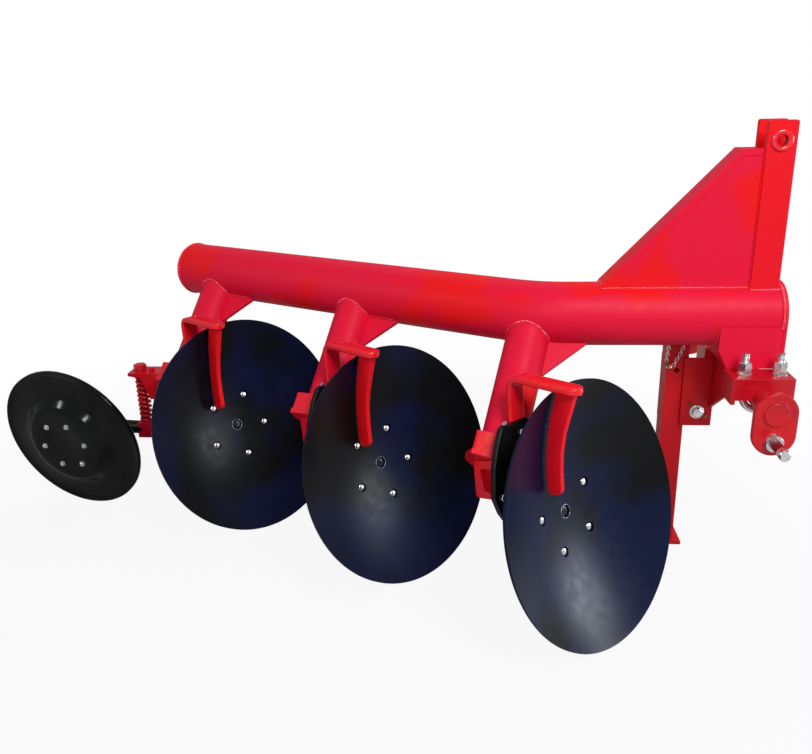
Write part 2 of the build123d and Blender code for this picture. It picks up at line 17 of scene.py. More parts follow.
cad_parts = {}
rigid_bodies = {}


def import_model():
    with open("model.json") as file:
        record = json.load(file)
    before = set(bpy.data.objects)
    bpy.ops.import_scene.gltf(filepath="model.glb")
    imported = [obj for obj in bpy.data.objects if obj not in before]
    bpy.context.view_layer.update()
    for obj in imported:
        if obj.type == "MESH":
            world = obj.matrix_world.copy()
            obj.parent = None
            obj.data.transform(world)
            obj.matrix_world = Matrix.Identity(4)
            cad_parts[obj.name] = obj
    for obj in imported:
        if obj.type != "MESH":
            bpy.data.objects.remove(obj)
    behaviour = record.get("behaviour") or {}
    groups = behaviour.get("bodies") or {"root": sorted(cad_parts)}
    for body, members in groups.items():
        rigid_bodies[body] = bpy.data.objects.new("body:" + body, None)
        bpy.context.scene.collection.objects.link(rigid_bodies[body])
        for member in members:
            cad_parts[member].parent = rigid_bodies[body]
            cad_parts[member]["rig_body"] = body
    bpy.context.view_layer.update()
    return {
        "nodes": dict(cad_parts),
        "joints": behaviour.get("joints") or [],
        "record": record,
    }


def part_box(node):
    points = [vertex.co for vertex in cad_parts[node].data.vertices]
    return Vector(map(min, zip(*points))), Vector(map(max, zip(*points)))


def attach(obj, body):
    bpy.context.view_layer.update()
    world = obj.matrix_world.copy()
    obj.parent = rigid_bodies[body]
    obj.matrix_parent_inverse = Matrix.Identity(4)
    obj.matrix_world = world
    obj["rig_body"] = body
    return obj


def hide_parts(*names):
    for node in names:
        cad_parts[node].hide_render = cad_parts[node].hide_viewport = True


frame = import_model()

# %% [markdown]
# ## One way to name a place
# The plough's own drawing starts on the ground below the front disc's rim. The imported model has
# its origin elsewhere, so one helper turns millimetres of that drawing into the scene's metres.
# It takes its start from a plate whose place in the drawing is known, so nothing drifts if the
# model is packed again.

# %% Places in millimetres
plate_low, plate_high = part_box("beam_front_plate")
drawing_start = Vector((plate_low.x - 0.476, (plate_low.y + plate_high.y) / 2 - 0.336, 0.0))


def place(x, y, z):
    """A point of the drawing, in the scene's metres."""
    return drawing_start + Vector((x, y, z)) / 1000


# %% [markdown]
# ## Camera
# The camera stands to the right of the plough, a little above the mast, and looks slightly down.
# Its place and its three directions came from matching the discs, the beam and the mast to the
# picture. The focal length is written in picture widths, so it holds at any render size.

# %% Camera
camera_right = Vector((0.99679295, 0.07663313, -0.02304743))
camera_down = Vector((0.00356307, -0.33022306, -0.9438962))
camera_forward = Vector((-0.07994452, 0.94078695, -0.32943707))
picture_width = 812
focal_pixels = 826.6

camera_data = bpy.data.cameras.new("studio_camera")
camera_data.sensor_fit = "HORIZONTAL"
camera_data.sensor_width = 36.0
camera_data.lens = camera_data.sensor_width * focal_pixels / picture_width
camera = bpy.data.objects.new("studio_camera", camera_data)
bpy.context.scene.collection.objects.link(camera)
turn = Matrix((camera_right, -camera_down, -camera_forward)).transposed().to_4x4()
camera.matrix_world = Matrix.Translation(place(-303.5, -1816.8, 1304.5)) @ turn
bpy.context.scene.camera = camera
bpy.context.scene.view_settings.view_transform = "Standard"
print("lens, mm:", round(camera_data.lens, 2))

# %% [markdown]
# ## Room and light
# The plough stands on a pale floor in a plain white room. The room is white to the camera, while
# the light that it gives is weaker, so that colours come out as written. The floor keeps the
# shadow near the plough and fades into the white room further out.

# %% Node helpers
def add_node(tree, kind, **settings):
    """A node with its settings, and its inputs given by name or number."""
    node = tree.nodes.new(kind)
    for key, value in settings.items():
        if key == "inputs":
            for socket, amount in value.items():
                node.inputs[socket].default_value = amount
        else:
            setattr(node, key, value)
    return node


def seen_rays(tree):
    """One for camera and transmission rays, and zero for all others."""
    path = add_node(tree, "ShaderNodeLightPath")
    seen = add_node(tree, "ShaderNodeMath", operation="MAXIMUM")
    tree.links.new(path.outputs["Is Camera Ray"], seen.inputs[0])
    tree.links.new(path.outputs["Is Transmission Ray"], seen.inputs[1])
    return seen.outputs[0]


# %% White room
room = bpy.data.worlds.new("white_room")
room.use_nodes = True
room.node_tree.nodes.clear()
room_light = add_node(
    room.node_tree, "ShaderNodeBackground", inputs={"Color": (0.96, 0.97, 1.0, 1), "Strength": 0.34}
)
room_seen = add_node(
    room.node_tree, "ShaderNodeBackground", inputs={"Color": (1, 1, 1, 1), "Strength": 1.0}
)
room_mix = add_node(room.node_tree, "ShaderNodeMixShader")
room_out = add_node(room.node_tree, "ShaderNodeOutputWorld")
room.node_tree.links.new(seen_rays(room.node_tree), room_mix.inputs[0])
room.node_tree.links.new(room_light.outputs[0], room_mix.inputs[1])
room.node_tree.links.new(room_seen.outputs[0], room_mix.inputs[2])
room.node_tree.links.new(room_mix.outputs[0], room_out.inputs[0])
bpy.context.scene.world = room

# %% Floor
floor_mesh = bpy.data.meshes.new("floor")
floor_half = 9.0
corners = [(-1, -1), (1, -1), (1, 1), (-1, 1)]
floor_mesh.from_pydata([(x * floor_half, y * floor_half, 0) for x, y in corners], [], [(0, 1, 2, 3)])
floor = bpy.data.objects.new("floor", floor_mesh)
bpy.context.scene.collection.objects.link(floor)
floor_paint = bpy.data.materials.new("pale_floor")
floor_paint.use_nodes = True
tree = floor_paint.node_tree
tree.nodes.clear()
matt = add_node(tree, "ShaderNodeBsdfDiffuse", inputs={"Color": (0.50, 0.50, 0.50, 1)})
white = add_node(tree, "ShaderNodeEmission", inputs={"Color": (1, 1, 1, 1), "Strength": 1.0})
spot = add_node(tree, "ShaderNodeTexCoord")
distance = add_node(tree, "ShaderNodeVectorMath", operation="LENGTH")
fade = add_node(tree, "ShaderNodeMapRange", interpolation_type="SMOOTHSTEP")
fade.inputs["From Min"].default_value = 1.0
fade.inputs["From Max"].default_value = 2.6
fade.inputs["To Min"].default_value = 0.91
shown = add_node(tree, "ShaderNodeMath", operation="MULTIPLY")
floor_mix = add_node(tree, "ShaderNodeMixShader")
floor_out = add_node(tree, "ShaderNodeOutputMaterial")
tree.links.new(spot.outputs["Object"], distance.inputs[0])
tree.links.new(distance.outputs["Value"], fade.inputs["Value"])
tree.links.new(fade.outputs[0], shown.inputs[0])
tree.links.new(seen_rays(tree), shown.inputs[1])
tree.links.new(shown.outputs[0], floor_mix.inputs[0])
tree.links.new(matt.outputs[0], floor_mix.inputs[1])
tree.links.new(white.outputs[0], floor_mix.inputs[2])
tree.links.new(floor_mix.outputs[0], floor_out.inputs[0])
floor_mesh.materials.append(floor_paint)

# %% Lamps
def soft_lamp(name, where, target, size, power, colour):
    """A square area lamp that looks at a point."""
    data = bpy.data.lights.new(name, "AREA")
    data.shape = "SQUARE"
    data.size = size
    data.energy = power
    data.color = colour
    lamp = bpy.data.objects.new(name, data)
    bpy.context.scene.collection.objects.link(lamp)
    aim = (target - where).to_track_quat("-Z", "Y")
    lamp.matrix_world = Matrix.Translation(where) @ aim.to_matrix().to_4x4()
    return lamp


middle = place(-500, 300, 500)
soft_lamp("key_lamp", place(1000, -2600, 3300), middle, 1.3, 106, (1.0, 0.98, 0.97))
soft_lamp("side_lamp", place(-4100, -1300, 2600), middle, 0.35, 17, (0.97, 1.0, 1.0))
soft_lamp("wheel_lamp", place(-1000, -3050, 1900), middle, 0.3, 14, (0.97, 1.0, 1.0))
soft_lamp("dish_lamp", place(3900, 780, 1060), middle, 1.3, 85, (0.86, 0.92, 1.0))
back_lamp = soft_lamp("back_lamp", place(-400, 2800, 2900), middle, 2.2, 30, (1.0, 1.0, 1.0))
back_lamp.visible_glossy = False

# %% [markdown]
# ## Finishes
# The plough is sprayed red, its discs and wheel are black, and its bolts and pins are plated. Each
# finish is a small node tree on Object coordinates. A broad noise lets the colour drift, a second
# one makes the gloss uneven, a fine one gives the paint's peel or the casting's grain, and a
# sparse one lays scuffs over the colour.

# %% Build a finish
def finish(name, colours, roughness, metal=0.0, specular=0.5, drift=2.5, grain=400.0, bump=0.05,
           ramp=(0.42, 0.58), scuff=None, scuff_from=0.66):
    """A painted, cast or plated surface with drifting colour, uneven gloss, relief and scuffs."""
    material = bpy.data.materials.new(name)
    material.use_nodes = True
    tree = material.node_tree
    tree.nodes.clear()
    out = add_node(tree, "ShaderNodeOutputMaterial")
    shader = add_node(tree, "ShaderNodeBsdfPrincipled")
    shader.inputs["Metallic"].default_value = metal
    shader.inputs["Specular IOR Level"].default_value = specular
    spot = add_node(tree, "ShaderNodeTexCoord")
    broad = add_node(tree, "ShaderNodeTexNoise", inputs={"Scale": drift, "Detail": 2.0})
    tint = add_node(tree, "ShaderNodeValToRGB")
    tint.color_ramp.interpolation = "EASE"
    tint.color_ramp.elements[0].position = ramp[0]
    tint.color_ramp.elements[1].position = ramp[1]
    for stop, colour in zip(tint.color_ramp.elements, colours):
        stop.color = (*colour, 1)
    tree.links.new(spot.outputs["Object"], broad.inputs["Vector"])
    tree.links.new(broad.outputs[0], tint.inputs[0])
    marks = add_node(tree, "ShaderNodeTexNoise", inputs={"Scale": 55.0, "Detail": 6.0})
    marks.inputs["Roughness"].default_value = 0.7
    sparse = add_node(tree, "ShaderNodeMapRange")
    sparse.inputs["From Min"].default_value = scuff_from
    sparse.inputs["From Max"].default_value = scuff_from + 0.08
    worn = add_node(tree, "ShaderNodeMix", data_type="RGBA")
    worn.inputs[7].default_value = (*(scuff or colours[0]), 1)
    tree.links.new(spot.outputs["Object"], marks.inputs["Vector"])
    tree.links.new(marks.outputs[0], sparse.inputs["Value"])
    tree.links.new(sparse.outputs[0], worn.inputs[0])
    tree.links.new(tint.outputs[0], worn.inputs[6])
    tree.links.new(worn.outputs[2], shader.inputs["Base Color"])
    patchy = add_node(tree, "ShaderNodeTexNoise", inputs={"Scale": 38.0, "Detail": 4.0})
    gloss = add_node(tree, "ShaderNodeMapRange")
    gloss.inputs["From Min"].default_value = 0.3
    gloss.inputs["From Max"].default_value = 0.7
    gloss.inputs["To Min"].default_value = roughness[0]
    gloss.inputs["To Max"].default_value = roughness[1]
    tree.links.new(spot.outputs["Object"], patchy.inputs["Vector"])
    tree.links.new(patchy.outputs[0], gloss.inputs["Value"])
    tree.links.new(gloss.outputs[0], shader.inputs["Roughness"])
    fine = add_node(tree, "ShaderNodeTexNoise", inputs={"Scale": grain, "Detail": 3.0})
    relief = add_node(tree, "ShaderNodeBump", inputs={"Strength": bump, "Distance": 0.001})
    tree.links.new(spot.outputs["Object"], fine.inputs["Vector"])
    tree.links.new(fine.outputs[0], relief.inputs["Height"])
    tree.links.new(relief.outputs[0], shader.inputs["Normal"])
    tree.links.new(shader.outputs[0], out.inputs[0])
    return material


scarlet = (0.84, 0.0070, 0.0120)
crimson = (0.78, 0.0070, 0.0420)
dull_red = (0.58, 0.0060, 0.0140)
red_paint = finish(
    "red_paint", [crimson, scarlet], (0.42, 0.54), specular=0.16, drift=3.4, grain=260.0,
    bump=0.05, ramp=(0.54, 0.63), scuff=dull_red,
)
scarlet_paint = finish(
    "scarlet_paint", [scarlet, (0.82, 0.0070, 0.0190)], (0.40, 0.52), specular=0.16, drift=3.0,
    grain=260.0, bump=0.05, scuff=dull_red,
)
cast_red = finish(
    "cast_red", [scarlet, (0.80, 0.0070, 0.0300)], (0.16, 0.28), specular=0.45, drift=9.0,
    grain=60.0, bump=0.45, scuff=dull_red, scuff_from=0.70,
)
# Weld paint: its second colour is a lighter pink, a painted highlight on the beads and the eye rings.
weld_red = finish(
    "weld_red", [scarlet, (0.84, 0.020, 0.070)], (0.10, 0.20), specular=1.0, drift=14.0,
    grain=180.0, bump=0.20, scuff=dull_red, scuff_from=0.70,
)
# Painted shade: the plough's red, darkened for the stand, which stands in shade under the beam.
stand_red = finish(
    "stand_red", [(0.56, 0.0060, 0.0150), (0.62, 0.0060, 0.0120)], (0.36, 0.50), specular=0.2,
    drift=5.0, grain=200.0, bump=0.08, scuff=(0.40, 0.005, 0.010),
)
# Painted shade: a glossy red darkened for the cross shaft, its clamps, cranks and welds, the spring and the rod
# head.
gloss_red = finish(
    "gloss_red", [(0.52, 0.0050, 0.0150), (0.62, 0.0055, 0.0120)], (0.20, 0.32), specular=0.4,
    drift=9.0, grain=120.0, bump=0.12, scuff=(0.42, 0.005, 0.010), scuff_from=0.70,
)
# Dark red of the pin shanks and the spring guide. It also serves as painted shade on the wall of the top link
# hole.
maroon = finish(
    "maroon_paint", [(0.20, 0.004, 0.010), (0.30, 0.005, 0.012)], (0.25, 0.4), specular=0.4,
    drift=30.0, grain=300.0, bump=0.1, scuff=(0.10, 0.004, 0.008),
)
# Near-black disc paint. Its navy patches are a painted blue sheen.
disc_paint = finish(
    "disc_paint", [(0.0040, 0.0043, 0.0050), (0.0038, 0.0070, 0.0330)], (0.27, 0.36),
    specular=0.15, drift=3.2, grain=60.0, bump=0.015, scuff=(0.008, 0.011, 0.024),
    scuff_from=0.80,
)
hub_black = finish(
    "hub_black", [(0.004, 0.004, 0.004), (0.007, 0.007, 0.008)], (0.28, 0.42), specular=0.3,
    drift=12.0, grain=220.0, bump=0.25, scuff=(0.02, 0.02, 0.02),
)
wheel_black = finish(
    "wheel_black", [(0.0035, 0.0036, 0.0035), (0.006, 0.007, 0.006)], (0.10, 0.17), specular=0.16,
    drift=10.0, grain=26.0, bump=0.30, scuff=(0.03, 0.03, 0.035), scuff_from=0.72,
)
zinc = finish(
    "zinc", [(0.74, 0.78, 0.82), (0.92, 0.92, 0.90)], (0.20, 0.34), metal=1.0, drift=60.0,
    grain=900.0, bump=0.08, scuff=(0.40, 0.41, 0.43), scuff_from=0.60,
)
ochre = finish(
    "ochre_plating", [(0.16, 0.07, 0.015), (0.30, 0.15, 0.04)], (0.35, 0.5), metal=0.5,
    drift=60.0, grain=500.0, bump=0.1, scuff=(0.08, 0.04, 0.02),
)
# Pale bluish steel for the thin ring at each disc's centre hole, a painted highlight on the hole's edge.
worn_steel = finish(
    "worn_steel", [(0.20, 0.30, 0.42), (0.34, 0.46, 0.58)], (0.22, 0.34), metal=0.9, drift=30.0,
    grain=400.0, bump=0.1, scuff=(0.08, 0.10, 0.14),
)
slot_paint = {
    "red_paint": red_paint, "disc_black": disc_paint, "black_paint": hub_black, "zinc": zinc
}

# %% [markdown]
# ## Meshes by hand
# Most pieces are closed meshes built from points: a lathe turns a profile about a line, a loft
# joins rings of points, and a plate gives an outline a thickness. One maker finishes them all:
# it smooths them, keeps the sharp edges, paints them and lets them ride on their body.

# %% Finish a mesh
def make_piece(name, mesh, paint, body, sharp=38.0):
    """Object at the origin with smooth faces, sharp edges above an angle, its paint and its body."""
    mesh.materials.clear()
    for coat in paint if isinstance(paint, (list, tuple)) else [paint]:
        mesh.materials.append(coat)
    mesh.shade_smooth()
    mesh.set_sharp_from_angle(angle=math.radians(sharp))
    piece = bpy.data.objects.new(name, mesh)
    bpy.context.scene.collection.objects.link(piece)
    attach(piece, body)
    return piece


def to_mesh(name, shape, outwards=True):
    """Mesh from a bmesh, with doubled points merged and faces turned outwards."""
    if outwards:
        bmesh.ops.remove_doubles(shape, verts=shape.verts, dist=1e-6)
        bmesh.ops.recalc_face_normals(shape, faces=shape.faces)
    mesh = bpy.data.meshes.new(name)
    shape.to_mesh(mesh)
    shape.free()
    return mesh


# %% Lathe, loft and plate
def turned(shape, profile, stand, steps=64):
    """Closed solid of revolution: profile points (radius, height) in mm about the stand's Z."""
    rings = []
    for radius, height in profile:
        if radius < 1e-6:
            rings.append([shape.verts.new(stand @ Vector((0, 0, height / 1000)))])
            continue
        ring = []
        for step in range(steps):
            turn = math.tau * step / steps
            spot = Vector((radius * math.cos(turn), radius * math.sin(turn), height)) / 1000
            ring.append(shape.verts.new(stand @ spot))
        rings.append(ring)
    for lower, upper in zip(rings, rings[1:] + rings[:1]):
        if len(lower) == 1 and len(upper) == 1:
            continue
        for step in range(steps):
            following = (step + 1) % steps
            a, b = lower[step % len(lower)], lower[following % len(lower)]
            c, d = upper[following % len(upper)], upper[step % len(upper)]
            shape.faces.new([v for v in dict.fromkeys((a, b, c, d))])
    return shape


def lofted(shape, rings, closed_ends=True):
    """Skin through rings of points that have the same count."""
    made = [[shape.verts.new(spot) for spot in ring] for ring in rings]
    count = len(made[0])
    for lower, upper in zip(made, made[1:]):
        for step in range(count):
            following = (step + 1) % count
            shape.faces.new((lower[step], lower[following], upper[following], upper[step]))
    if closed_ends:
        shape.faces.new(list(reversed(made[0])))
        shape.faces.new(made[-1])
    return shape


def rounded_outline(points, radius, steps=5):
    """Outline in two dimensions with each corner rounded."""
    out = []
    count = len(points)
    for index in range(count):
        before, here, after = (Vector(points[(index + k) % count]) for k in (-1, 0, 1))
        own = radius[index] if isinstance(radius, (list, tuple)) else radius
        to_before = (before - here).normalized()
        to_after = (after - here).normalized()
        half = to_before.angle(to_after) / 2
        if own <= 0 or half > math.radians(88):
            out.append(here)
            continue
        reach = own / math.tan(half)
        start = here + to_before * reach
        end = here + to_after * reach
        for step in range(steps + 1):
            t = step / steps
            out.append(start.lerp(here, t).lerp(here.lerp(end, t), t))
    return out


def plate(shape, outline, stand, low, high):
    """Flat plate: outline points in mm in the stand's XY plane, between two heights."""
    rings = []
    for height in (low, high):
        rings.append([stand @ (Vector((p[0], p[1], height)) / 1000) for p in outline])
    return lofted(shape, rings)


def tube(shape, path, radius, steps=12, closed=False):
    """Round bar along points in the scene, with its ring turned as little as possible."""
    count = len(path)
    rings = []
    level = None
    for index in range(count):
        if closed:
            run = path[(index + 1) % count] - path[index - 1]
        else:
            run = path[min(index + 1, count - 1)] - path[max(index - 1, 0)]
        run.normalize()
        if level is None:
            level = run.orthogonal().normalized()
        level = (level - run * level.dot(run)).normalized()
        side = run.cross(level)
        ring = []
        for step in range(steps):
            turn = math.tau * step / steps
            ring.append(path[index] + (level * math.cos(turn) + side * math.sin(turn)) * radius)
        rings.append(ring)
    if closed:
        rings.append(rings[0])
    return lofted(shape, rings, closed_ends=not closed)


def nut(shape, stand, across, low, high, chamfer=1.6):
    """Hexagon nut or head with its corners cut at both ends."""
    corner = across / math.sqrt(3)
    rings = []
    for height, size in (
        (low, corner - chamfer), (low + chamfer, corner), (high - chamfer, corner),
        (high, corner - chamfer),
    ):
        ring = []
        for step in range(6):
            turn = math.tau * step / 6
            ring.append(stand @ (Vector((size * math.cos(turn), size * math.sin(turn), height)) / 1000))
        rings.append(ring)
    return lofted(shape, rings)


def stand_at(point, up, along=(0, 0, 1)):
    """Frame at a point of the drawing, with Z along up and X near along."""
    rise = Vector(up).normalized()
    side = Vector(along)
    side = side - rise * side.dot(rise)
    if side.length < 1e-6:
        side = rise.orthogonal()
    side.normalize()
    turn = Matrix((side, rise.cross(side), rise)).transposed().to_4x4()
    return Matrix.Translation(place(*point)) @ turn


# %% Frames of the turning parts
def joint_frame(name):
    """Frame at a joint, with Z along its axis and X level."""
    joint = next(j for j in frame["joints"] if j["name"] == name)
    axis = Vector(joint["axis"]).normalized()
    level = Vector((0, 0, 1)).cross(axis).normalized()
    turn = Matrix((level, axis.cross(level), axis)).transposed().to_4x4()
    return Matrix.Translation(Vector(joint["pos_m"])) @ turn


disc_names = ["front", "middle", "rear"]
disc_frames = [joint_frame(f"{name}_disc_spin") for name in disc_names]
wheel_stand = joint_frame("wheel_spin")

# %% [markdown]
# ## Shapes that follow a rule
# A dish, a coil, a weld, a chain and a ring of bolts each follow a rule, so each is a node tree
# with named inputs. The tree is run once on a small start mesh and its result is kept as a plain
# mesh. A change of one input remakes the whole shape.

# %% Run a tree
def new_tree(name, inputs):
    """Empty geometry tree with named inputs, given as name: (kind, value)."""
    tree = bpy.data.node_groups.new(name, "GeometryNodeTree")
    tree.interface.new_socket("Geometry", in_out="INPUT", socket_type="NodeSocketGeometry")
    for key, (kind, value) in inputs.items():
        socket = tree.interface.new_socket(key, in_out="INPUT", socket_type=f"NodeSocket{kind}")
        if value is not None:
            socket.default_value = value
    tree.interface.new_socket("Geometry", in_out="OUTPUT", socket_type="NodeSocketGeometry")
    return tree, tree.nodes.new("NodeGroupInput"), tree.nodes.new("NodeGroupOutput")


def close_tree(tree, last, given, out):
    """Make instances real and paint the result, as every tree here ends."""
    real = add_node(tree, "GeometryNodeRealizeInstances")
    paint = add_node(tree, "GeometryNodeSetMaterial")
    tree.links.new(last, real.inputs[0])
    tree.links.new(real.outputs[0], paint.inputs["Geometry"])
    tree.links.new(given.outputs["Paint"], paint.inputs["Material"])
    tree.links.new(paint.outputs[0], out.inputs[0])


def math_node(tree, operation, first, second=None, third=None):
    """A calculation on sockets or numbers."""
    node = add_node(tree, "ShaderNodeMath", operation=operation)
    for index, value in enumerate((first, second, third)):
        if value is None:
            continue
        if isinstance(value, (int, float)):
            node.inputs[index].default_value = value
        else:
            tree.links.new(value, node.inputs[index])
    return node.outputs[0]


def grown(name, tree, values, start=None):
    """Plain mesh of a tree's result, with its named inputs filled in."""
    base = bpy.data.objects.new(name, start or bpy.data.meshes.new(name))
    bpy.context.scene.collection.objects.link(base)
    growth = base.modifiers.new("growth", "NODES")
    growth.node_group = tree
    for item in tree.interface.items_tree:
        if item.item_type == "SOCKET" and item.in_out == "INPUT" and item.name in values:
            growth[item.identifier] = values[item.name]
    ready = bpy.context.evaluated_depsgraph_get()
    mesh = bpy.data.meshes.new_from_object(base.evaluated_get(ready))
    mesh.name = name
    bpy.data.objects.remove(base)
    return mesh


# %% Tree of a ring of equal things
ring_tree, given, out = new_tree("ring_of_things", {
    "Thing": ("Object", None), "Count": ("Int", 5), "Radius": ("Float", 0.1),
    "First angle": ("Float", 0.0), "Height": ("Float", 0.0), "Seed": ("Int", 3),
    "Paint": ("Material", None),
})
circle = add_node(ring_tree, "GeometryNodeMeshCircle")
thing = add_node(ring_tree, "GeometryNodeObjectInfo")
turned_about = add_node(ring_tree, "FunctionNodeRandomValue", data_type="FLOAT_VECTOR")
turned_about.inputs[0].default_value = (0, 0, 0)
turned_about.inputs[1].default_value = (0, 0, math.tau)
placed = add_node(ring_tree, "GeometryNodeInstanceOnPoints")
turn_whole = add_node(ring_tree, "ShaderNodeCombineXYZ")
lift_whole = add_node(ring_tree, "ShaderNodeCombineXYZ")
moved = add_node(ring_tree, "GeometryNodeTransform")
link = ring_tree.links.new
link(given.outputs["Count"], circle.inputs["Vertices"])
link(given.outputs["Radius"], circle.inputs["Radius"])
link(given.outputs["Thing"], thing.inputs["Object"])
link(given.outputs["Seed"], turned_about.inputs["Seed"])
link(circle.outputs[0], placed.inputs["Points"])
link(thing.outputs["Geometry"], placed.inputs["Instance"])
link(turned_about.outputs[0], placed.inputs["Rotation"])
link(given.outputs["First angle"], turn_whole.inputs[2])
link(given.outputs["Height"], lift_whole.inputs[2])
link(placed.outputs[0], moved.inputs["Geometry"])
link(lift_whole.outputs[0], moved.inputs["Translation"])
link(turn_whole.outputs[0], moved.inputs["Rotation"])
close_tree(ring_tree, moved.outputs[0], given, out)


def ring_of(name, shape, stand, count, radius, first, height, paint):
    """Mesh of equal things around a stand, in the scene; sizes in mm, the first angle in degrees."""
    thing = bpy.data.objects.new("thing", to_mesh("thing", shape))
    bpy.context.scene.collection.objects.link(thing)
    mesh = grown(name, ring_tree, {
        "Thing": thing, "Count": count, "Radius": radius / 1000,
        "First angle": math.radians(first), "Height": height / 1000, "Paint": paint,
    })
    bpy.data.objects.remove(thing)
    mesh.transform(stand)
    return mesh


# %% Tree of a weld bead
weld_tree, given, out = new_tree("weld_bead", {
    "Pitch": ("Float", 0.0045), "Width": ("Float", 0.009), "Seed": ("Int", 11),
    "Paint": ("Material", None),
})
line = add_node(weld_tree, "GeometryNodeMeshToCurve")
even = add_node(weld_tree, "GeometryNodeResampleCurve", mode="LENGTH")
drop = add_node(weld_tree, "GeometryNodeMeshUVSphere")
drop.inputs["Segments"].default_value = 8
drop.inputs["Rings"].default_value = 6
drop.inputs["Radius"].default_value = 0.5
drops = add_node(weld_tree, "GeometryNodeInstanceOnPoints")
uneven = add_node(weld_tree, "FunctionNodeRandomValue", data_type="FLOAT")
uneven.inputs[2].default_value = 0.86
uneven.inputs[3].default_value = 1.12
link = weld_tree.links.new
link(given.outputs["Geometry"], line.inputs["Mesh"])
link(line.outputs[0], even.inputs["Curve"])
link(given.outputs["Pitch"], even.inputs["Length"])
link(even.outputs[0], drops.inputs["Points"])
link(drop.outputs["Mesh"], drops.inputs["Instance"])
link(given.outputs["Seed"], uneven.inputs["Seed"])
link(math_node(weld_tree, "MULTIPLY", given.outputs["Width"], uneven.outputs[1]), drops.inputs["Scale"])
close_tree(weld_tree, drops.outputs[0], given, out)


def edge_line(paths, closed=False):
    """Mesh of bare edges through lists of points in the scene."""
    spots, edges = [], []
    for path in paths:
        first = len(spots)
        spots.extend(path)
        edges.extend((first + step, first + step + 1) for step in range(len(path) - 1))
        if closed:
            edges.append((len(spots) - 1, first))
    mesh = bpy.data.meshes.new("line")
    mesh.from_pydata(spots, edges, [])
    return mesh


def weld(name, paths, width=9.0, closed=False, paint=weld_red):
    """Painted weld beads along paths, as one piece."""
    mesh = grown(name, weld_tree, {
        "Pitch": width / 2000, "Width": width / 1000, "Paint": paint
    }, edge_line(paths, closed))
    return make_piece(name, mesh, paint, "frame", sharp=80)


# %% Tree of a coil
coil_tree, given, out = new_tree("coil", {
    "Turns": ("Float", 10.0), "Radius": ("Float", 0.02), "Height": ("Float", 0.2),
    "Wire radius": ("Float", 0.004), "Steps per turn": ("Int", 28), "Wire steps": ("Int", 10),
    "Paint": ("Material", None),
})
winding = add_node(coil_tree, "GeometryNodeCurveSpiral")
wire = add_node(coil_tree, "GeometryNodeCurvePrimitiveCircle")
swept = add_node(coil_tree, "GeometryNodeCurveToMesh")
swept.inputs["Fill Caps"].default_value = True
link = coil_tree.links.new
link(given.outputs["Steps per turn"], winding.inputs["Resolution"])
link(given.outputs["Turns"], winding.inputs["Rotations"])
link(given.outputs["Radius"], winding.inputs["Start Radius"])
link(given.outputs["Radius"], winding.inputs["End Radius"])
link(given.outputs["Height"], winding.inputs["Height"])
link(given.outputs["Wire steps"], wire.inputs["Resolution"])
link(given.outputs["Wire radius"], wire.inputs["Radius"])
link(winding.outputs[0], swept.inputs["Curve"])
link(wire.outputs[0], swept.inputs["Profile Curve"])
close_tree(coil_tree, swept.outputs[0], given, out)


def coil(name, stand, turns, radius, height, wire_radius, paint, steps=28, wire_steps=10):
    """Mesh of a coil that climbs from a stand; sizes in mm."""
    mesh = grown(name, coil_tree, {
        "Turns": float(turns), "Radius": radius / 1000, "Height": height / 1000,
        "Wire radius": wire_radius / 1000, "Steps per turn": steps, "Wire steps": wire_steps,
        "Paint": paint,
    })
    mesh.transform(stand)
    return mesh


# %% Tree of a chain
chain_tree, given, out = new_tree("chain", {
    "Pitch": ("Float", 0.012), "Link length": ("Float", 0.017), "Link width": ("Float", 0.011),
    "Wire radius": ("Float", 0.0014), "Paint": ("Material", None),
})
line = add_node(chain_tree, "GeometryNodeMeshToCurve")
even = add_node(chain_tree, "GeometryNodeResampleCurve", mode="LENGTH")
tangent = add_node(chain_tree, "GeometryNodeInputTangent")
aligned = add_node(chain_tree, "FunctionNodeAlignEulerToVector", axis="X")
count = add_node(chain_tree, "GeometryNodeInputIndex")
quarter = math_node(chain_tree, "MULTIPLY", math_node(chain_tree, "MODULO", count.outputs[0], 2.0), math.pi / 2)
rolled = add_node(chain_tree, "ShaderNodeCombineXYZ")
rolled_more = add_node(chain_tree, "FunctionNodeRotateEuler", space="LOCAL")
oval = add_node(chain_tree, "GeometryNodeCurvePrimitiveCircle")
oval.inputs["Resolution"].default_value = 12
oval.inputs["Radius"].default_value = 0.5
stretched = add_node(chain_tree, "GeometryNodeTransform")
stretch = add_node(chain_tree, "ShaderNodeCombineXYZ")
wire = add_node(chain_tree, "GeometryNodeCurvePrimitiveCircle")
wire.inputs["Resolution"].default_value = 6
swept = add_node(chain_tree, "GeometryNodeCurveToMesh")
links = add_node(chain_tree, "GeometryNodeInstanceOnPoints")
link = chain_tree.links.new
link(given.outputs["Geometry"], line.inputs["Mesh"])
link(line.outputs[0], even.inputs["Curve"])
link(given.outputs["Pitch"], even.inputs["Length"])
link(tangent.outputs[0], aligned.inputs["Vector"])
link(quarter, rolled.inputs[0])
link(aligned.outputs[0], rolled_more.inputs["Rotation"])
link(rolled.outputs[0], rolled_more.inputs["Rotate By"])
link(given.outputs["Link length"], stretch.inputs[0])
link(given.outputs["Link width"], stretch.inputs[1])
stretch.inputs[2].default_value = 1.0
link(oval.outputs[0], stretched.inputs["Geometry"])
link(stretch.outputs[0], stretched.inputs["Scale"])
link(given.outputs["Wire radius"], wire.inputs["Radius"])
link(stretched.outputs[0], swept.inputs["Curve"])
link(wire.outputs[0], swept.inputs["Profile Curve"])
link(even.outputs[0], links.inputs["Points"])
link(swept.outputs[0], links.inputs["Instance"])
link(rolled_more.outputs[0], links.inputs["Rotation"])
close_tree(chain_tree, links.outputs[0], given, out)

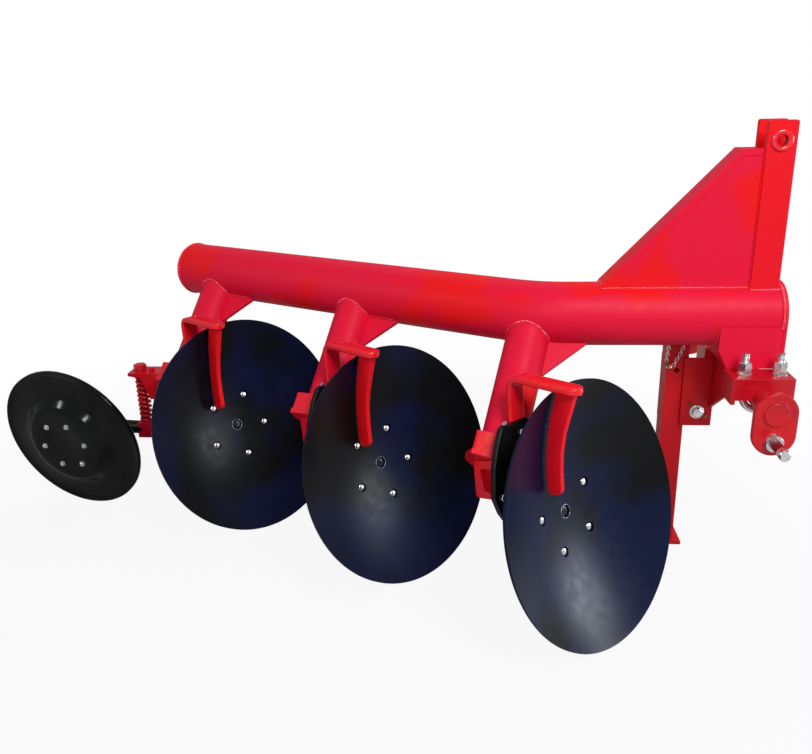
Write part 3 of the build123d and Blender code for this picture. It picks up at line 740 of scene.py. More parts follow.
# %% Tree of a dish
dish_tree, given, out = new_tree("dish", {
    "Rim radius": ("Float", 0.33), "Depth": ("Float", 0.096), "Thickness": ("Float", 0.006),
    "Centre hole": ("Float", 0.017), "Bolt circle": ("Float", 0.101), "Bolt hole": ("Float", 0.0135),
    "Bolts": ("Int", 5), "First angle": ("Float", 0.0), "Rings": ("Int", 20),
    "Steps": ("Int", 128), "Paint": ("Material", None),
})
sheet = add_node(dish_tree, "GeometryNodeMeshGrid")
where = add_node(dish_tree, "GeometryNodeInputPosition")
parts = add_node(dish_tree, "ShaderNodeSeparateXYZ")
shaped = add_node(dish_tree, "GeometryNodeSetPosition")
spot = add_node(dish_tree, "ShaderNodeCombineXYZ")
joined = add_node(dish_tree, "GeometryNodeMergeByDistance")
joined.inputs["Distance"].default_value = 0.00001
link = dish_tree.links.new


def calc(operation, *values):
    """A calculation inside the dish tree."""
    return math_node(dish_tree, operation, *values)


rim, rows, steps = (given.outputs[key] for key in ("Rim radius", "Rings", "Steps"))
depth, thick, hole = (given.outputs[key] for key in ("Depth", "Thickness", "Centre hole"))
both_rows = calc("MULTIPLY", rows, 2.0)
link(calc("ADD", steps, 1.0), sheet.inputs["Vertices X"])
link(calc("ADD", both_rows, 1.0), sheet.inputs["Vertices Y"])
link(where.outputs[0], parts.inputs[0])
turn = calc("MULTIPLY", parts.outputs[0], math.tau)
row = calc("ROUND", calc("MULTIPLY", calc("ADD", parts.outputs[1], 0.5), both_rows))
row = calc("MODULO", row, both_rows)
outer = calc("GREATER_THAN", row, calc("SUBTRACT", rows, 0.5))
along = calc("DIVIDE", calc("MODULO", row, rows), calc("SUBTRACT", rows, 1.0))
along = calc("ABSOLUTE", calc("SUBTRACT", outer, along))
radius = calc("MULTIPLY_ADD", along, calc("SUBTRACT", rim, hole), hole)
ball = calc("ADD", calc("POWER", rim, 2.0), calc("POWER", depth, 2.0))
ball = calc("DIVIDE", ball, calc("MULTIPLY", depth, 2.0))
face = calc("MULTIPLY_ADD", outer, thick, ball)
height = calc("SUBTRACT", calc("POWER", face, 2.0), calc("POWER", radius, 2.0))
height = calc("SUBTRACT", ball, calc("SQRT", height))
link(calc("MULTIPLY", radius, calc("COSINE", turn)), spot.inputs[0])
link(calc("MULTIPLY", radius, calc("SINE", turn)), spot.inputs[1])
link(height, spot.inputs[2])
link(sheet.outputs[0], shaped.inputs["Geometry"])
link(spot.outputs[0], shaped.inputs["Position"])
link(shaped.outputs[0], joined.inputs["Geometry"])
holes = add_node(dish_tree, "GeometryNodeMeshCircle")
drill = add_node(dish_tree, "GeometryNodeMeshCylinder")
drill.inputs["Vertices"].default_value = 32
drill.inputs["Depth"].default_value = 0.08
drills = add_node(dish_tree, "GeometryNodeInstanceOnPoints")
drills_turned = add_node(dish_tree, "GeometryNodeTransform")
drill_turn = add_node(dish_tree, "ShaderNodeCombineXYZ")
cut = add_node(dish_tree, "GeometryNodeMeshBoolean", operation="DIFFERENCE")
link(given.outputs["Bolts"], holes.inputs["Vertices"])
link(given.outputs["Bolt circle"], holes.inputs["Radius"])
link(given.outputs["Bolt hole"], drill.inputs["Radius"])
link(holes.outputs[0], drills.inputs["Points"])
link(drill.outputs["Mesh"], drills.inputs["Instance"])
link(given.outputs["First angle"], drill_turn.inputs[2])
link(drills.outputs[0], drills_turned.inputs["Geometry"])
link(drill_turn.outputs[0], drills_turned.inputs["Rotation"])
link(joined.outputs[0], cut.inputs["Mesh 1"])
link(drills_turned.outputs[0], cut.inputs["Mesh 2"])
close_tree(dish_tree, cut.outputs["Mesh"], given, out)

# %% [markdown]
# ## Round the edges of plates and castings
# Real plates never end in a mathematical corner: a small round catches the light. The packed
# nodes have bare corners, so each plate and casting gets a copy whose flat faces are joined again
# and whose sharp edges get a narrow bevel. The copy then stands for the node.

# %% Soften a node
def softened(node, edge, paint=None, angle=33.0, segments=2, name=None):
    """Copy of a CAD node with its sharp edges rounded by edge millimetres."""
    source = frame["nodes"][node]
    record = frame["record"]
    slot = next(p["material_slot"] for p in record["subparts"] if p["node"] == node)
    shape = bmesh.new()
    shape.from_mesh(source.data)
    bmesh.ops.remove_doubles(shape, verts=shape.verts, dist=2e-5)
    bmesh.ops.dissolve_limit(
        shape, angle_limit=math.radians(1.0), verts=shape.verts, edges=shape.edges
    )
    mesh = bpy.data.meshes.new(name or f"{node}_soft")
    shape.to_mesh(mesh)
    shape.free()
    work = bpy.data.objects.new("work", mesh)
    bpy.context.scene.collection.objects.link(work)
    bevel = work.modifiers.new("round", "BEVEL")
    bevel.width = edge / 1000
    bevel.segments = segments
    bevel.limit_method = "ANGLE"
    bevel.angle_limit = math.radians(angle)
    bevel.miter_outer = "MITER_ARC"
    bevel.use_clamp_overlap = True
    even = work.modifiers.new("even", "WEIGHTED_NORMAL")
    even.keep_sharp = True
    mesh.shade_smooth()
    ready = bpy.context.evaluated_depsgraph_get()
    done = bpy.data.meshes.new_from_object(work.evaluated_get(ready))
    done.name = mesh.name
    bpy.data.objects.remove(work)
    piece = bpy.data.objects.new(name or f"{node}_soft", done)
    bpy.context.scene.collection.objects.link(piece)
    done.materials.clear()
    done.materials.append(paint or slot_paint[slot])
    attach(piece, source["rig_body"])
    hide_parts(node)
    return piece


cast_edge, plate_edge = 4.5, 2.5
beam_y_line = 336.0
soft_nodes = {
    "beam_front_plate": 3.0, "beam_rear_cap": 3.0, "mast_bar_right": 2.0, "mast_bar_left": 2.0,
    "mast_stay": 3.0, "hitch_saddle": 3.0, "shaft_clamp_right": 4.0, "shaft_clamp_left": 4.0,
    "crank_plate_right": 4.0, "crank_plate_left": 4.0, "standard_1": plate_edge,
    "standard_2": plate_edge, "standard_3": plate_edge, "stand_leg": 4.0, "wheel_collar": 3.0, "spring_cap": 3.0, "wheel_support": 5.0,
    "wheel_arm": 3.0,
}
for index in (1, 2, 3):
    soft_nodes[f"disc_bracket_{index}"] = cast_edge
    soft_nodes[f"disc_housing_{index}"] = 3.0
# The stand, the shaft clamps, the crank plates and the spring cap get reds darkened as painted shade.
own_paint = {
    "mast_bar": scarlet_paint, "disc_bracket": cast_red, "stand": stand_red,
    "shaft_clamp": gloss_red, "crank_plate": gloss_red, "spring": gloss_red,
}
for node, edge in soft_nodes.items():
    start = next((key for key in own_paint if node.startswith(key + "_")), None)
    piece = softened(node, edge, own_paint.get(start))
# Painted shade: the faces on the wall of the top link hole take the dark maroon paint.
eye = place(431.0, beam_y_line, 1168.0)
for node in ("mast_bar_right", "mast_bar_left"):
    bar = bpy.data.objects[f"{node}_soft"].data
    bar.materials.append(maroon)
    for face in bar.polygons:
        inside = math.hypot(face.center.x - eye.x, face.center.z - eye.z) < 0.0145
        if inside and abs(face.normal.y) < 0.5:
            face.material_index = 1
print("rounded nodes:", len(soft_nodes))

# %% [markdown]
# ## Beam
# The beam is one bent pipe. It's lofted from rings along its line: a straight front, an arc and a
# straight rear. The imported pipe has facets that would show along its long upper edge, so this
# smoother one stands for it. It's also the surface that later welds are laid on.

# %% Beam pipe
beam_radius = 84.0
beam_y, beam_z = 336.0, 731.0
beam_front_x = 476.0
beam_rear_run = 1295.0
bend_radius = 300.0
lead = math.radians(28.9)
beam_line = Vector((-math.cos(lead), math.sin(lead), 0))
bend = Vector((-125.0, beam_y, beam_z))
arc_start = bend + Vector((bend_radius * math.tan(lead / 2), 0, 0))
arc_centre = arc_start + Vector((0, bend_radius, 0))
beam_path = [(Vector((beam_front_x, beam_y, beam_z)), 0.0)]
for step in range(13):
    turn = lead * step / 12
    beam_path.append(
        (arc_centre + bend_radius * Vector((-math.sin(turn), -math.cos(turn), 0)), turn)
    )
beam_path.append((bend + beam_line * beam_rear_run, lead))
rings = []
for spot, turn in beam_path:
    side = Vector((-math.sin(turn), -math.cos(turn), 0))
    ring = []
    for step in range(80):
        round_turn = math.tau * step / 80
        out_to = side * math.cos(round_turn) + Vector((0, 0, math.sin(round_turn)))
        ring.append(place(*(spot + out_to * beam_radius)))
    rings.append(ring)
beam = make_piece("beam_pipe", to_mesh("beam_pipe", lofted(bmesh.new(), rings)), red_paint,
                  "frame")
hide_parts("main_beam")
beam_skin = BVHTree.FromPolygons(
    [v.co for v in beam.data.vertices], [tuple(p.vertices) for p in beam.data.polygons]
)
print("beam faces:", len(beam.data.polygons))

# %% [markdown]
# ## Welds
# Every joint on this frame is welded, and the beads are what shows as pale, rippled lines. Each
# bead follows the line where two pieces meet. Round joints get their line by rays cast along the
# standard onto the beam, and straight ones from the plates' own corners.

# %% Where the standards meet the beam
standard_foot = Vector((-88, 167, -101)) / 1000
standard_radius = 57.0
disc_pitch = 568.0
loops = []
gusset_lines = []
for index, stand in enumerate(disc_frames):
    foot = stand @ standard_foot
    top = place(*(bend + beam_line * (18 + disc_pitch * index)))
    up = (top - foot).normalized()
    level = up.orthogonal().normalized()
    other = up.cross(level)
    loop = []
    for step in range(56):
        turn = math.tau * step / 56
        edge = level * math.cos(turn) + other * math.sin(turn)
        start = foot + up * 0.05 + edge * standard_radius / 1000
        loop.append(beam_skin.ray_cast(start, up)[0])
    loops.append(loop)
    ahead = Vector((1, 0, 0)) if index == 0 else -beam_line
    below = (ahead * up.dot(ahead) - up).normalized()
    sheet = ahead.cross(below)
    slope = -up.dot(ahead) / -up.dot(below)
    for side in (-1, 1):
        line = []
        for step in range(6):
            run = -slope * beam_radius + standard_radius + 2 + step * 20
            line.append(top + (ahead * run + below * (beam_radius - 0.5) + sheet * side * 7) / 1000)
        gusset_lines.append(line)
weld("standard_welds", loops, 9.0, closed=True)
weld("gusset_welds", gusset_lines, 6.0)

# %% Where the mast, the stay, the saddle and the front plate meet the beam
def beam_top(x, y, up=1):
    """Point of the straight beam's skin above or below a place."""
    return place(x, y, beam_z + up * math.sqrt(beam_radius**2 - (y - beam_y) ** 2))


def span(first, last, count):
    """Evenly spaced values."""
    return [first + (last - first) * step / (count - 1) for step in range(count)]


stay_half, stay_rear, stay_apex, stay_top = 36.0, 28.0, 346.0, 1148.0
mast_rear, mast_front, mast_inner, mast_outer = 397.0, 467.0, 28.0, 44.0
stay_line = [beam_top(x, beam_y - stay_half) for x in (mast_rear, stay_rear)]
stay_line += [beam_top(stay_rear, y) for y in span(beam_y - stay_half, beam_y + stay_half, 9)[1:]]
stay_line += [beam_top(mast_rear, beam_y + stay_half)]
lines = [stay_line]
thin_lines = []
for side in (-1, 1):
    outer, inner = beam_y + side * mast_outer, beam_y + side * mast_inner
    lines.append([beam_top(mast_rear, outer), beam_top(mast_front, outer), beam_top(mast_front, inner)])
    skin = beam_y + side * stay_half
    thin_lines.append([place(mast_rear - 1.5, skin + side * 1.5, z) for z in (808, stay_top - 4)])
    thin_lines.append(
        [
            place(stay_rear + 14, skin, beam_z + beam_radius - 7),
            place(stay_apex + 6, skin, stay_top - 14),
            place(mast_rear - 2, skin, stay_top - 14),
        ]
    )
weld("mast_welds", lines, 8.0)
# Weld rings round the top link holes, in the weld paint with its painted pink highlight.
eyes = bmesh.new()
for side in (-1, 1):
    face_y = beam_y + side * (mast_outer + 1)
    ring = [
        place(431 + 20.5 * math.cos(turn), face_y, 1168 + 20.5 * math.sin(turn))
        for turn in span(0, math.tau, 41)[:-1]
    ]
    tube(eyes, ring, 0.006, 12, closed=True)
make_piece("top_link_rings", to_mesh("top_link_rings", eyes), weld_red, "frame", 70)
weld("stay_welds", thin_lines, 4.5, paint=red_paint)
saddle_rear, saddle_half, saddle_top, saddle_low = 322.0, 88.0, 712.0, 607.0
lines = []
for side in (-1, 1):
    y = beam_y + side * (saddle_half - 1.5)
    lines.append([place(x, y, saddle_top - 0.5) for x in (saddle_rear, beam_front_x)])
weld("saddle_top_welds", lines, 5.0, paint=red_paint)
lines = []
lines.append([beam_top(saddle_rear, y, -1) for y in span(beam_y - 80, beam_y + 80, 17)])
ring_from, ring_to = math.radians(-13), math.radians(193)
front_ring = []
for turn in span(ring_from, ring_to, 40):
    front_ring.append(
        place(beam_front_x - 1, beam_y - 85 * math.cos(turn), beam_z + 85 * math.sin(turn))
    )
lines.append(front_ring)
weld("saddle_welds", lines, 9.0)
rear_end = bend + beam_line * beam_rear_run
cap_side = Vector((-math.sin(lead), -math.cos(lead), 0))
cap_ring = []
for step in range(48):
    turn = math.tau * step / 48
    edge = cap_side * math.cos(turn) + Vector((0, 0, math.sin(turn)))
    cap_ring.append(place(*(rear_end + edge * (beam_radius + 0.5))))
weld("cap_weld", [cap_ring], 6.0, closed=True)

# %% [markdown]
# ## Discs
# Each disc is pressed from one sheet into part of a ball, so a tree makes it from its rim radius,
# its depth and its thickness, and drills it for the bolts. The bolt heads sink into the holes,
# which leaves a dark crescent beside each head. Behind the disc sits the hub's flange, and its
# plug shows through the centre hole.

# %% Dishes, bolts and hubs
bolt_phases = (101.1, -9.3, 62.0)
dish_radius = 615.1875
dish_thickness = 6.0


def back_face(radius):
    """Height of the disc's outer face at a radius, in mm."""
    return dish_radius - math.sqrt((dish_radius + dish_thickness) ** 2 - radius**2)


flange_radius = 115.0
hub_profile = [(0, -6.5), (2.4, -6.5), (3.6, -3.4), (12.0, -3.4), (15.4, -4.6), (16.0, -5.9)]
hub_profile += [(r, back_face(r) - 0.05) for r in span(18.0, flange_radius, 12)]
hub_profile += [(flange_radius, -19.0), (flange_radius - 3, -22.0), (40.0, -22.0), (25.0, -24.0)]
hub_profile += [(25.0, -138.0), (23.0, -140.0), (0, -140.0)]
head_profile = [(0, 5.4), (1.4, 5.6), (2.0, 6.8), (5.5, 6.6), (8.4, 5.7), (10.0, 4.2), (10.7, 2.2)]
head_profile += [(10.7, -6.0), (0, -6.0)]
lip = [(17.2 + 0.9 * math.cos(math.tau * k / 8), 0.3 + 0.9 * math.sin(math.tau * k / 8)) for k in range(8)]
for index, stand in enumerate(disc_frames):
    body = f"{disc_names[index]}_disc"
    number = index + 1
    dish = grown(f"dish_{number}", dish_tree, {
        "First angle": math.radians(bolt_phases[index]), "Bolt circle": 0.1, "Bolt hole": 0.013,
        "Paint": disc_paint,
    })
    dish.transform(stand)
    dish = make_piece(f"dish_{number}", dish, disc_paint, body, sharp=30)
    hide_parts(f"disc_{number}")
    hub = to_mesh(f"hub_{number}", turned(bmesh.new(), hub_profile, stand))
    hub = make_piece(f"hub_{number}", hub, hub_black, body)
    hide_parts(f"disc_spindle_{number}")
    # The thin pale ring at the centre hole's edge is a painted highlight.
    ring = to_mesh(f"hub_ring_{number}", turned(bmesh.new(), lip, stand, 48))
    make_piece(f"hub_ring_{number}", ring, worn_steel, body, sharp=70)
    heads = turned(bmesh.new(), head_profile, Matrix.Identity(4), 24)
    heads = ring_of(
        f"disc_bolts_{number}", heads, stand, 5, 100.0, bolt_phases[index], 0.0, zinc
    )
    make_piece(f"disc_bolts_{number}", heads, zinc, body)
    print("dish faces:", len(dish.data.polygons), "bolt faces:", len(heads.polygons))

# %% [markdown]
# ## Bearing housings
# A cover closes the rear of each housing with four bolts and a grease nipple, and the carrier
# plate is bolted to the casting. Small things, but they are what a viewer sees from behind.

# %% Cover bolts, grease nipples and plate bolts
housing_back = -158.0
for index, stand in enumerate(disc_frames):
    number = index + 1
    cover = turned(
        bmesh.new(),
        [(0, housing_back - 5), (54, housing_back - 5), (58, housing_back - 2), (58, housing_back + 1),
         (0, housing_back + 1)],
        stand,
    )
    make_piece(f"housing_cover_{number}", to_mesh(f"housing_cover_{number}", cover), hub_black,
               "frame")
    head = nut(bmesh.new(), Matrix.Identity(4), 17, -8, 0)
    heads = ring_of(f"cover_bolts_{number}", head, stand, 4, 44.0, 45.0, housing_back - 4.5, zinc)
    make_piece(f"cover_bolts_{number}", heads, zinc, "frame")
    nipple = [(0, -18), (2.6, -17), (3.4, -14.5), (2.4, -12), (4.6, -10.5), (5.5, -8), (5.5, 0), (0, 0)]
    nipple = turned(bmesh.new(), nipple, stand @ Matrix.Translation((0, 0, housing_back / 1000 - 0.0045)), 16)
    make_piece(f"grease_nipple_{number}", to_mesh(f"grease_nipple_{number}", nipple), ochre,
               "frame")
    fixings = bmesh.new()
    for u, v in ((-66.0, 226.0), (-178.0, 96.0), (44.0, 100.0)):
        spot = stand @ Matrix.Translation(Vector((u, v, -28)) / 1000)
        nut(fixings, spot, 19, -0.5, 5.0, 1.2)
    ends = [stand @ (Vector(p) / 1000) for p in ((-110, 262, -38), (-78, 232, -38))]
    tube(fixings, ends, 0.0032, 10)
    tube(fixings, [ends[0], ends[0].lerp(ends[1], 0.14)], 0.0065, 12)
    make_piece(f"plate_bolts_{number}", to_mesh(f"plate_bolts_{number}", fixings), zinc, "frame")

# %% [markdown]
# ## Scraper arms and blades
# The arm is a casting that rises from the carrier plate, turns a round corner and reaches over
# the rim. Its flange ends in a half circle and has a low border inside its edge. The blade under
# it is a curved plate whose left edge keeps clear of the turning dish. Both are lofts through
# rounded rectangles, so a station moved changes the whole sweep smoothly.

# %% Arms
def rounded_box(half_a, half_b, corner, steps=4):
    """Points of a rounded rectangle about its centre."""
    spots = []
    for sign_a, sign_b, start in ((1, 1, 0), (-1, 1, 90), (-1, -1, 180), (1, -1, 270)):
        for step in range(steps + 1):
            turn = math.radians(start + 90 * step / steps)
            spots.append(
                (
                    sign_a * (half_a - corner) + corner * math.cos(turn),
                    sign_b * (half_b - corner) + corner * math.sin(turn),
                )
            )
    return spots


arm_middle_u, arm_half_u, arm_half_thick = -66.0, 26.0, 8.0
arm_foot, arm_corner, arm_end = (Vector(p) for p in ((-37, 262), (-15, 369), (174, 319.5)))
corner_in = (arm_foot - arm_corner).normalized()
corner_out = (arm_end - arm_corner).normalized()
corner_radius = 30.0
corner_reach = corner_radius / math.tan(corner_in.angle(corner_out) / 2)
arm_line = [arm_foot, arm_corner + corner_in * corner_reach * 1.4]
for step in range(9):
    t = step / 8
    first = (arm_corner + corner_in * corner_reach).lerp(arm_corner, t)
    arm_line.append(first.lerp(arm_corner.lerp(arm_corner + corner_out * corner_reach, t), t))
tip_start = (arm_end - arm_corner).length - arm_half_u
arm_line.append(arm_corner + corner_out * (corner_reach * 1.4))
tip_spots = []
for step in range(9):
    turn = math.radians(90 * step / 8)
    run = tip_start + arm_half_u * math.sin(turn) * 0.985
    arm_line.append(arm_corner + corner_out * run)
    tip_spots.append(max(math.cos(turn), 0.10))
widths = [1.0] * (len(arm_line) - len(tip_spots)) + tip_spots
border_radius = arm_half_u - 8.0
border_from, border_to = corner_reach + 22.0, tip_start
flange_up = Vector((-corner_out.y, corner_out.x))
for index, stand in enumerate(disc_frames):
    number = index + 1
    rings = []
    for place_on_line, (spot, width) in enumerate(zip(arm_line, widths)):
        before = arm_line[max(place_on_line - 1, 0)]
        after = arm_line[min(place_on_line + 1, len(arm_line) - 1)]
        run = (after - before).normalized()
        across = Vector((-run.y, run.x))
        ring = []
        for a, b in rounded_box(arm_half_u * width, arm_half_thick, min(5.0, arm_half_u * width * 0.6)):
            w, v = spot + across * b
            ring.append(stand @ (Vector((arm_middle_u + a, v, w)) / 1000))
        rings.append(ring)
    arm = to_mesh(f"cast_arm_{number}", lofted(bmesh.new(), rings))
    arm = make_piece(f"cast_arm_{number}", arm, cast_red, "frame", sharp=60)
    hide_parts(f"scraper_arm_{number}")
    path = []
    for centre, start_turn in ((border_to, -90), (border_from, 90)):
        for step in range(13):
            turn = math.radians(start_turn + step * 15)
            run = centre + border_radius * math.cos(turn)
            w, v = arm_corner + corner_out * run + flange_up * (arm_half_thick - 0.3)
            u = arm_middle_u + border_radius * math.sin(turn)
            path.append(stand @ (Vector((u, v, w)) / 1000))
    border = to_mesh(f"arm_border_{number}", tube(bmesh.new(), path, 0.0018, 8, closed=True))
    make_piece(f"arm_border_{number}", border, cast_red, "frame", sharp=70)

# %% Blades
blade_near_u, blade_clear = -70.0, 6.5
blade_stations = [
    # height, right edge, thickness
    (326.0, 163.0, 17.0), (300.0, 148.0, 17.0), (260.0, 124.0, 16.0), (220.0, 101.0, 15.0),
    (174.0, 82.0, 14.0), (130.0, 70.0, 14.0), (95.0, 63.0, 14.0), (80.0, 60.0, 14.0),
    (73.0, 56.0, 14.0), (70.0, 50.0, 13.0),
]
for index, stand in enumerate(disc_frames):
    number = index + 1
    rings = []
    for v, right_w, thick in blade_stations:
        sink = (dish_radius - blade_clear) ** 2 - blade_near_u**2 - v**2
        left_w = dish_radius - math.sqrt(sink)
        if v < 79:
            left_w += (79 - v) * 0.7
        half = (right_w - left_w) / 2
        ring = []
        for a, b in rounded_box(half, thick / 2, min(3.0, half * 0.6)):
            w = (left_w + right_w) / 2 + a
            u = blade_near_u + thick / 2 + b
            ring.append(stand @ (Vector((u, v, w)) / 1000))
        rings.append(ring)
    blade = to_mesh(f"blade_{number}", lofted(bmesh.new(), rings))
    blade = make_piece(f"blade_{number}", blade, scarlet_paint, "frame", sharp=60)
    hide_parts(f"scraper_blade_{number}")

# %% [markdown]
# ## Hitch
# A bent bolt draws the cross shaft into each clamp. Its two threaded ends stand up from tall nuts.
# The lower pin is plated at its collar and tip, with paint on the shank between them.

# %% Bent bolts, washers and nuts
shaft_x, shaft_z = 421.0, 550.0
bolt_half, bolt_rod, bolt_top = 43.0, 10.0, 662.0
bend_z = shaft_z - 30.0 + bolt_half - bolt_rod
nut_across, nut_high = 30.0, 32.0
for side, middle_y in (("right", 207.0), ("left", 465.0)):
    path = [place(shaft_x - bolt_half, middle_y, z) for z in (bolt_top, bend_z)]
    for turn in span(180, 360, 17)[1:-1]:
        turn = math.radians(turn)
        path.append(
            place(shaft_x + bolt_half * math.cos(turn), middle_y, bend_z + bolt_half * math.sin(turn))
        )
    path += [place(shaft_x + bolt_half, middle_y, z) for z in (bend_z, bolt_top)]
    bolt = tube(bmesh.new(), path, (bolt_rod - 0.8) / 1000, 20)
    for leg in (-bolt_half, bolt_half):
        stand = stand_at((shaft_x + leg, middle_y, saddle_low), (0, 0, 1), (1, 0.3, 0))
        turned(bolt, [(0, -0.2), (19, -0.2), (19, 2.8), (18, 3.4), (0, 3.4)], stand, 32)
        nut(bolt, stand, nut_across, 3.4, nut_high, 2.0)
    bolt = make_piece(f"bent_bolt_{side}", to_mesh(f"bent_bolt_{side}", bolt), zinc, "frame")
    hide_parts(f"clamp_bolt_{side}")
    for number, leg in enumerate((-bolt_half, bolt_half)):
        foot = Matrix.Translation(place(shaft_x + leg, middle_y, saddle_low + nut_high - 1))
        thread = coil(
            f"thread_{side}_{number}", foot, 12, bolt_rod - 1.1, bolt_top - saddle_low - nut_high - 6,
            0.55, zinc, steps=20, wire_steps=5,
        )
        make_piece(f"thread_{side}_{number}", thread, zinc, "frame", sharp=70)

# %% Cross shaft, crank welds and lower pins
shaft = [(0, 0), (27, 0), (30, 3), (30, 790), (27, 793), (0, 793)]
shaft = turned(bmesh.new(), shaft, stand_at((shaft_x, 91.0, shaft_z), (0, 1, 0)))
# The cross shaft takes the glossy red, darkened as painted shade.
shaft = make_piece("cross_shaft_round", to_mesh("cross_shaft_round", shaft), gloss_red, "frame")
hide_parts("cross_shaft")
pin_z = shaft_z - 72.0
for side, shoulder, out_y in (("right", 75.0, -1), ("left", 900.0, 1)):
    ring = []
    for step in range(40):
        turn = math.tau * step / 40
        ring.append(
            place(shaft_x + 32 * math.cos(turn), shoulder - out_y * 0.6, shaft_z + 32 * math.sin(turn))
        )
    weld(f"crank_weld_{side}", [ring], 6.0, closed=True, paint=gloss_red)
    stand = stand_at((shaft_x, shoulder, pin_z), (0, out_y, 0))
    pin = turned(
        bmesh.new(),
        [(0, -0.5), (23, -0.5), (23, 8), (20.5, 12), (13.0, 12.4), (13.0, 60), (14, 60.5), (14, 80),
         (10.8, 84), (4, 84), (3, 82), (0, 82)],
        stand,
    )
    pin = to_mesh(f"lower_pin_{side}", pin)
    pin = make_piece(f"lower_pin_{side}", pin, [zinc, maroon], "frame")
    back = stand.inverted()
    for face in pin.data.polygons:
        spot = back @ face.center
        if 0.0122 < spot.z < 0.0602 and math.hypot(spot.x, spot.y) > 0.012:
            face.material_index = 1
    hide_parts(f"hitch_pin_{side}")

# %% [markdown]
# ## Stand
# A plate with an open guide behind it holds the leg, and a rib ties both to the saddle. The plate
# is held by a large plated bolt and located by two small pins. The leg's own pin hangs from a
# short chain at its top, out of its hole, as in the picture.

# %% Bracket with its guide and rib
bracket = bmesh.new()
upright = Matrix.Translation(place(0, 0, 0))
plate(bracket, [(284, 413.8), (371, 413.8), (371, 423.8), (284, 423.8)], upright, 380.0, 581.0)
guide_outline = [
    (297.3, 423.6), (303.0, 423.6), (303.0, 490.0), (237.0, 490.0), (237.0, 484.3), (297.3, 484.3),
]
plate(bracket, guide_outline, upright, 385.0, 575.0)
rib_outline = [(423.0, 581.0), (423.0, 436.0), (413.8, 436.0), (301.5, 508.0), (286.0, 607.5),
               (398.0, 607.5), (398.0, 581.0)]
sideways = Matrix(((0, 0, 1), (1, 0, 0), (0, 1, 0))).to_4x4()
plate(bracket, rib_outline, upright @ sideways, 360.0, 370.0)
bmesh.ops.recalc_face_normals(bracket, faces=bracket.faces)
bmesh.ops.bevel(
    bracket, geom=bracket.edges[:], offset=0.0018, segments=2, affect="EDGES", profile=0.5,
    clamp_overlap=True,
)
# Painted shade: the guide, plate and rib take the darkened stand red.
bracket = make_piece("stand_guide", to_mesh("stand_guide", bracket), stand_red, "frame")
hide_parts("stand_bracket")

# %% Bolt, small pins and chain
plate_y = 414.0
stand = stand_at((329.0, plate_y, 423.0), (0, -1, 0), (0.3, 0, 1))
bolt = turned(bmesh.new(), [(0, -0.5), (20, -0.5), (20, 2.6), (19, 3.4), (0, 3.4)], stand, 40)
nut(bolt, stand, 27, 3.4, 13.0, 2.4)
turned(bolt, [(0, 13.0), (5.5, 13.0), (5.5, 14.2), (0, 14.2)], stand, 20)
make_piece("stand_bolt", to_mesh("stand_bolt", bolt), zinc, "frame")
pins = bmesh.new()
for x, z in ((308.4, 444.8), (351.3, 409.2)):
    spot = stand_at((x, plate_y, z), (0, -1, 0))
    turned(pins, [(0, -0.5), (5.6, -0.5), (5.6, 4.0), (4.4, 5.4), (2.2, 5.4), (1.8, 3.2), (0, 3.2)], spot, 20)
make_piece("stand_pins", to_mesh("stand_pins", pins), ochre, "frame")
leg_face_y = 424.0
hanging = [
    (240, 636), (238, 612), (236, 590), (235, 570), (239, 557), (248, 554), (256, 562), (264, 580),
    (271, 596), (277, 612), (281, 636),
]
path = [place(x, leg_face_y - 7.5, z) for x, z in hanging]
chain = grown("pin_chain", chain_tree, {
    "Pitch": 0.0088, "Link length": 0.0126, "Link width": 0.0084, "Wire radius": 0.0011,
    "Paint": zinc,
}, edge_line([path]))
make_piece("pin_chain", chain, zinc, "stand", sharp=60)
hooks = bmesh.new()
for x in (240.0, 281.0):
    spot = stand_at((x, leg_face_y, 640.0), (0, -1, 0))
    turned(hooks, [(0, -0.5), (5, -0.5), (5, 10), (3.5, 12), (0, 12)], spot, 16)
make_piece("chain_hooks", to_mesh("chain_hooks", hooks), zinc, "stand")
pin = stand_at((236.0, leg_face_y - 7.5, 566.0), (0.15, 0, -1))
pin = turned(bmesh.new(), [(0, -6), (4, -6), (5.5, -3), (5.5, 6), (0, 8)], pin, 16)
make_piece("leg_pin", to_mesh("leg_pin", pin), ochre, "stand")

# %% [markdown]
# ## Furrow wheel
# The wheel is a plain pressed disc with a raised, flat boss. A narrow lip stiffens the rim. It's a
# turned shape, so one profile gives it, and the rounded edge of the boss is what catches light.

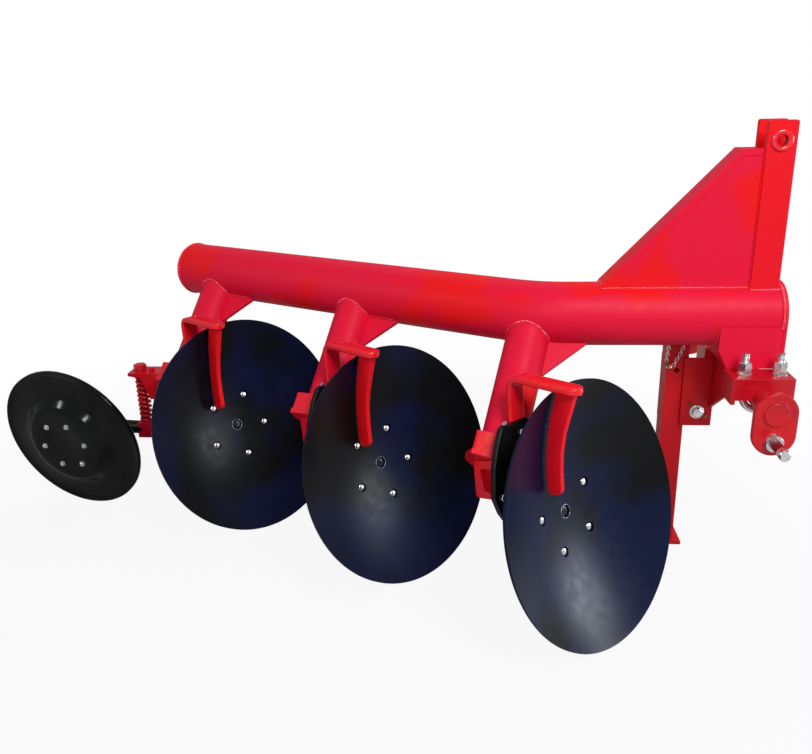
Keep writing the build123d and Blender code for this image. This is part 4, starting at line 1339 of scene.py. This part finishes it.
# %% Wheel and its bolts
wheel_profile = [
    (0, 40), (60, 40), (66, 41.6), (118, 42), (126, 41.2), (132, 39), (137, 35.4), (141, 31.4),
    (156, 15.6), (162, 10.8), (172, 8), (226, 1.2), (238, 2.4), (244, 5.6), (247.6, 5.6),
    (249, 3.6), (249, -6), (247.4, -8), (241, -8), (226, -6.8), (160, -1), (150, 2), (142, 10),
    (136, 22), (131, 29), (118, 33), (46, 33), (41, 30), (40, -56), (38, -58), (20.3, -58),
    (20.3, 24), (0, 24),
]
wheel = to_mesh("plain_wheel", turned(bmesh.new(), wheel_profile, wheel_stand, 128))
wheel = make_piece("plain_wheel", wheel, wheel_black, "wheel", sharp=50)
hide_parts("furrow_wheel")
head = turned(bmesh.new(), [(0, -1), (9, -1), (9, 1.2), (0, 1.2)], Matrix.Identity(4), 20)
nut(head, Matrix.Identity(4), 13, 1.2, 7.0, 1.2)
heads = ring_of("wheel_bolts", head, wheel_stand, 6, 80.6, 7.2, 41.6, zinc)
make_piece("wheel_bolts", heads, zinc, "wheel")

# %% [markdown]
# ## Spring of the furrow wheel
# A compression spring on a rod lets the wheel give way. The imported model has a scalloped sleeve
# in its place, and a real coil of ten turns stands for it here.

# %% Coil, rod and head
spring_x, spring_y = -1408.0, 720.0
spring_low, spring_high = 256.0, 428.0
wire_radius = 5.0
stand = Matrix.Translation(place(spring_x, spring_y, spring_low + wire_radius - 1))
wound = coil(
    "wheel_coil", stand, 10, 17.0, spring_high - spring_low - 2 * wire_radius + 2, wire_radius,
    gloss_red,
)
wound = make_piece("wheel_coil", wound, gloss_red, "frame", sharp=60)
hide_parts("wheel_spring")
guide = [(0, spring_low - 2), (11.5, spring_low - 2), (11.5, spring_high + 1), (0, spring_high + 1)]
guide = turned(bmesh.new(), guide, Matrix.Translation(place(spring_x, spring_y, 0)), 24)
make_piece("spring_guide", to_mesh("spring_guide", guide), maroon, "frame")
head = nut(bmesh.new(), stand_at((spring_x, spring_y, 438.0), (0, 0, 1), (1, 0.2, 0)), 37, 0, 21, 3)
nut(head, stand_at((-1366.0, 712.0, 437.5), (0, 0, 1), (1, 0, 0)), 19, 0, 13, 2)
make_piece("rod_head", to_mesh("rod_head", head), gloss_red, "frame")

# %% Paint what is left
for node, thing in frame["nodes"].items():
    slot = next(p["material_slot"] for p in frame["record"]["subparts"] if p["node"] == node)
    thing.data.materials.clear()
    thing.data.materials.append(slot_paint[slot])
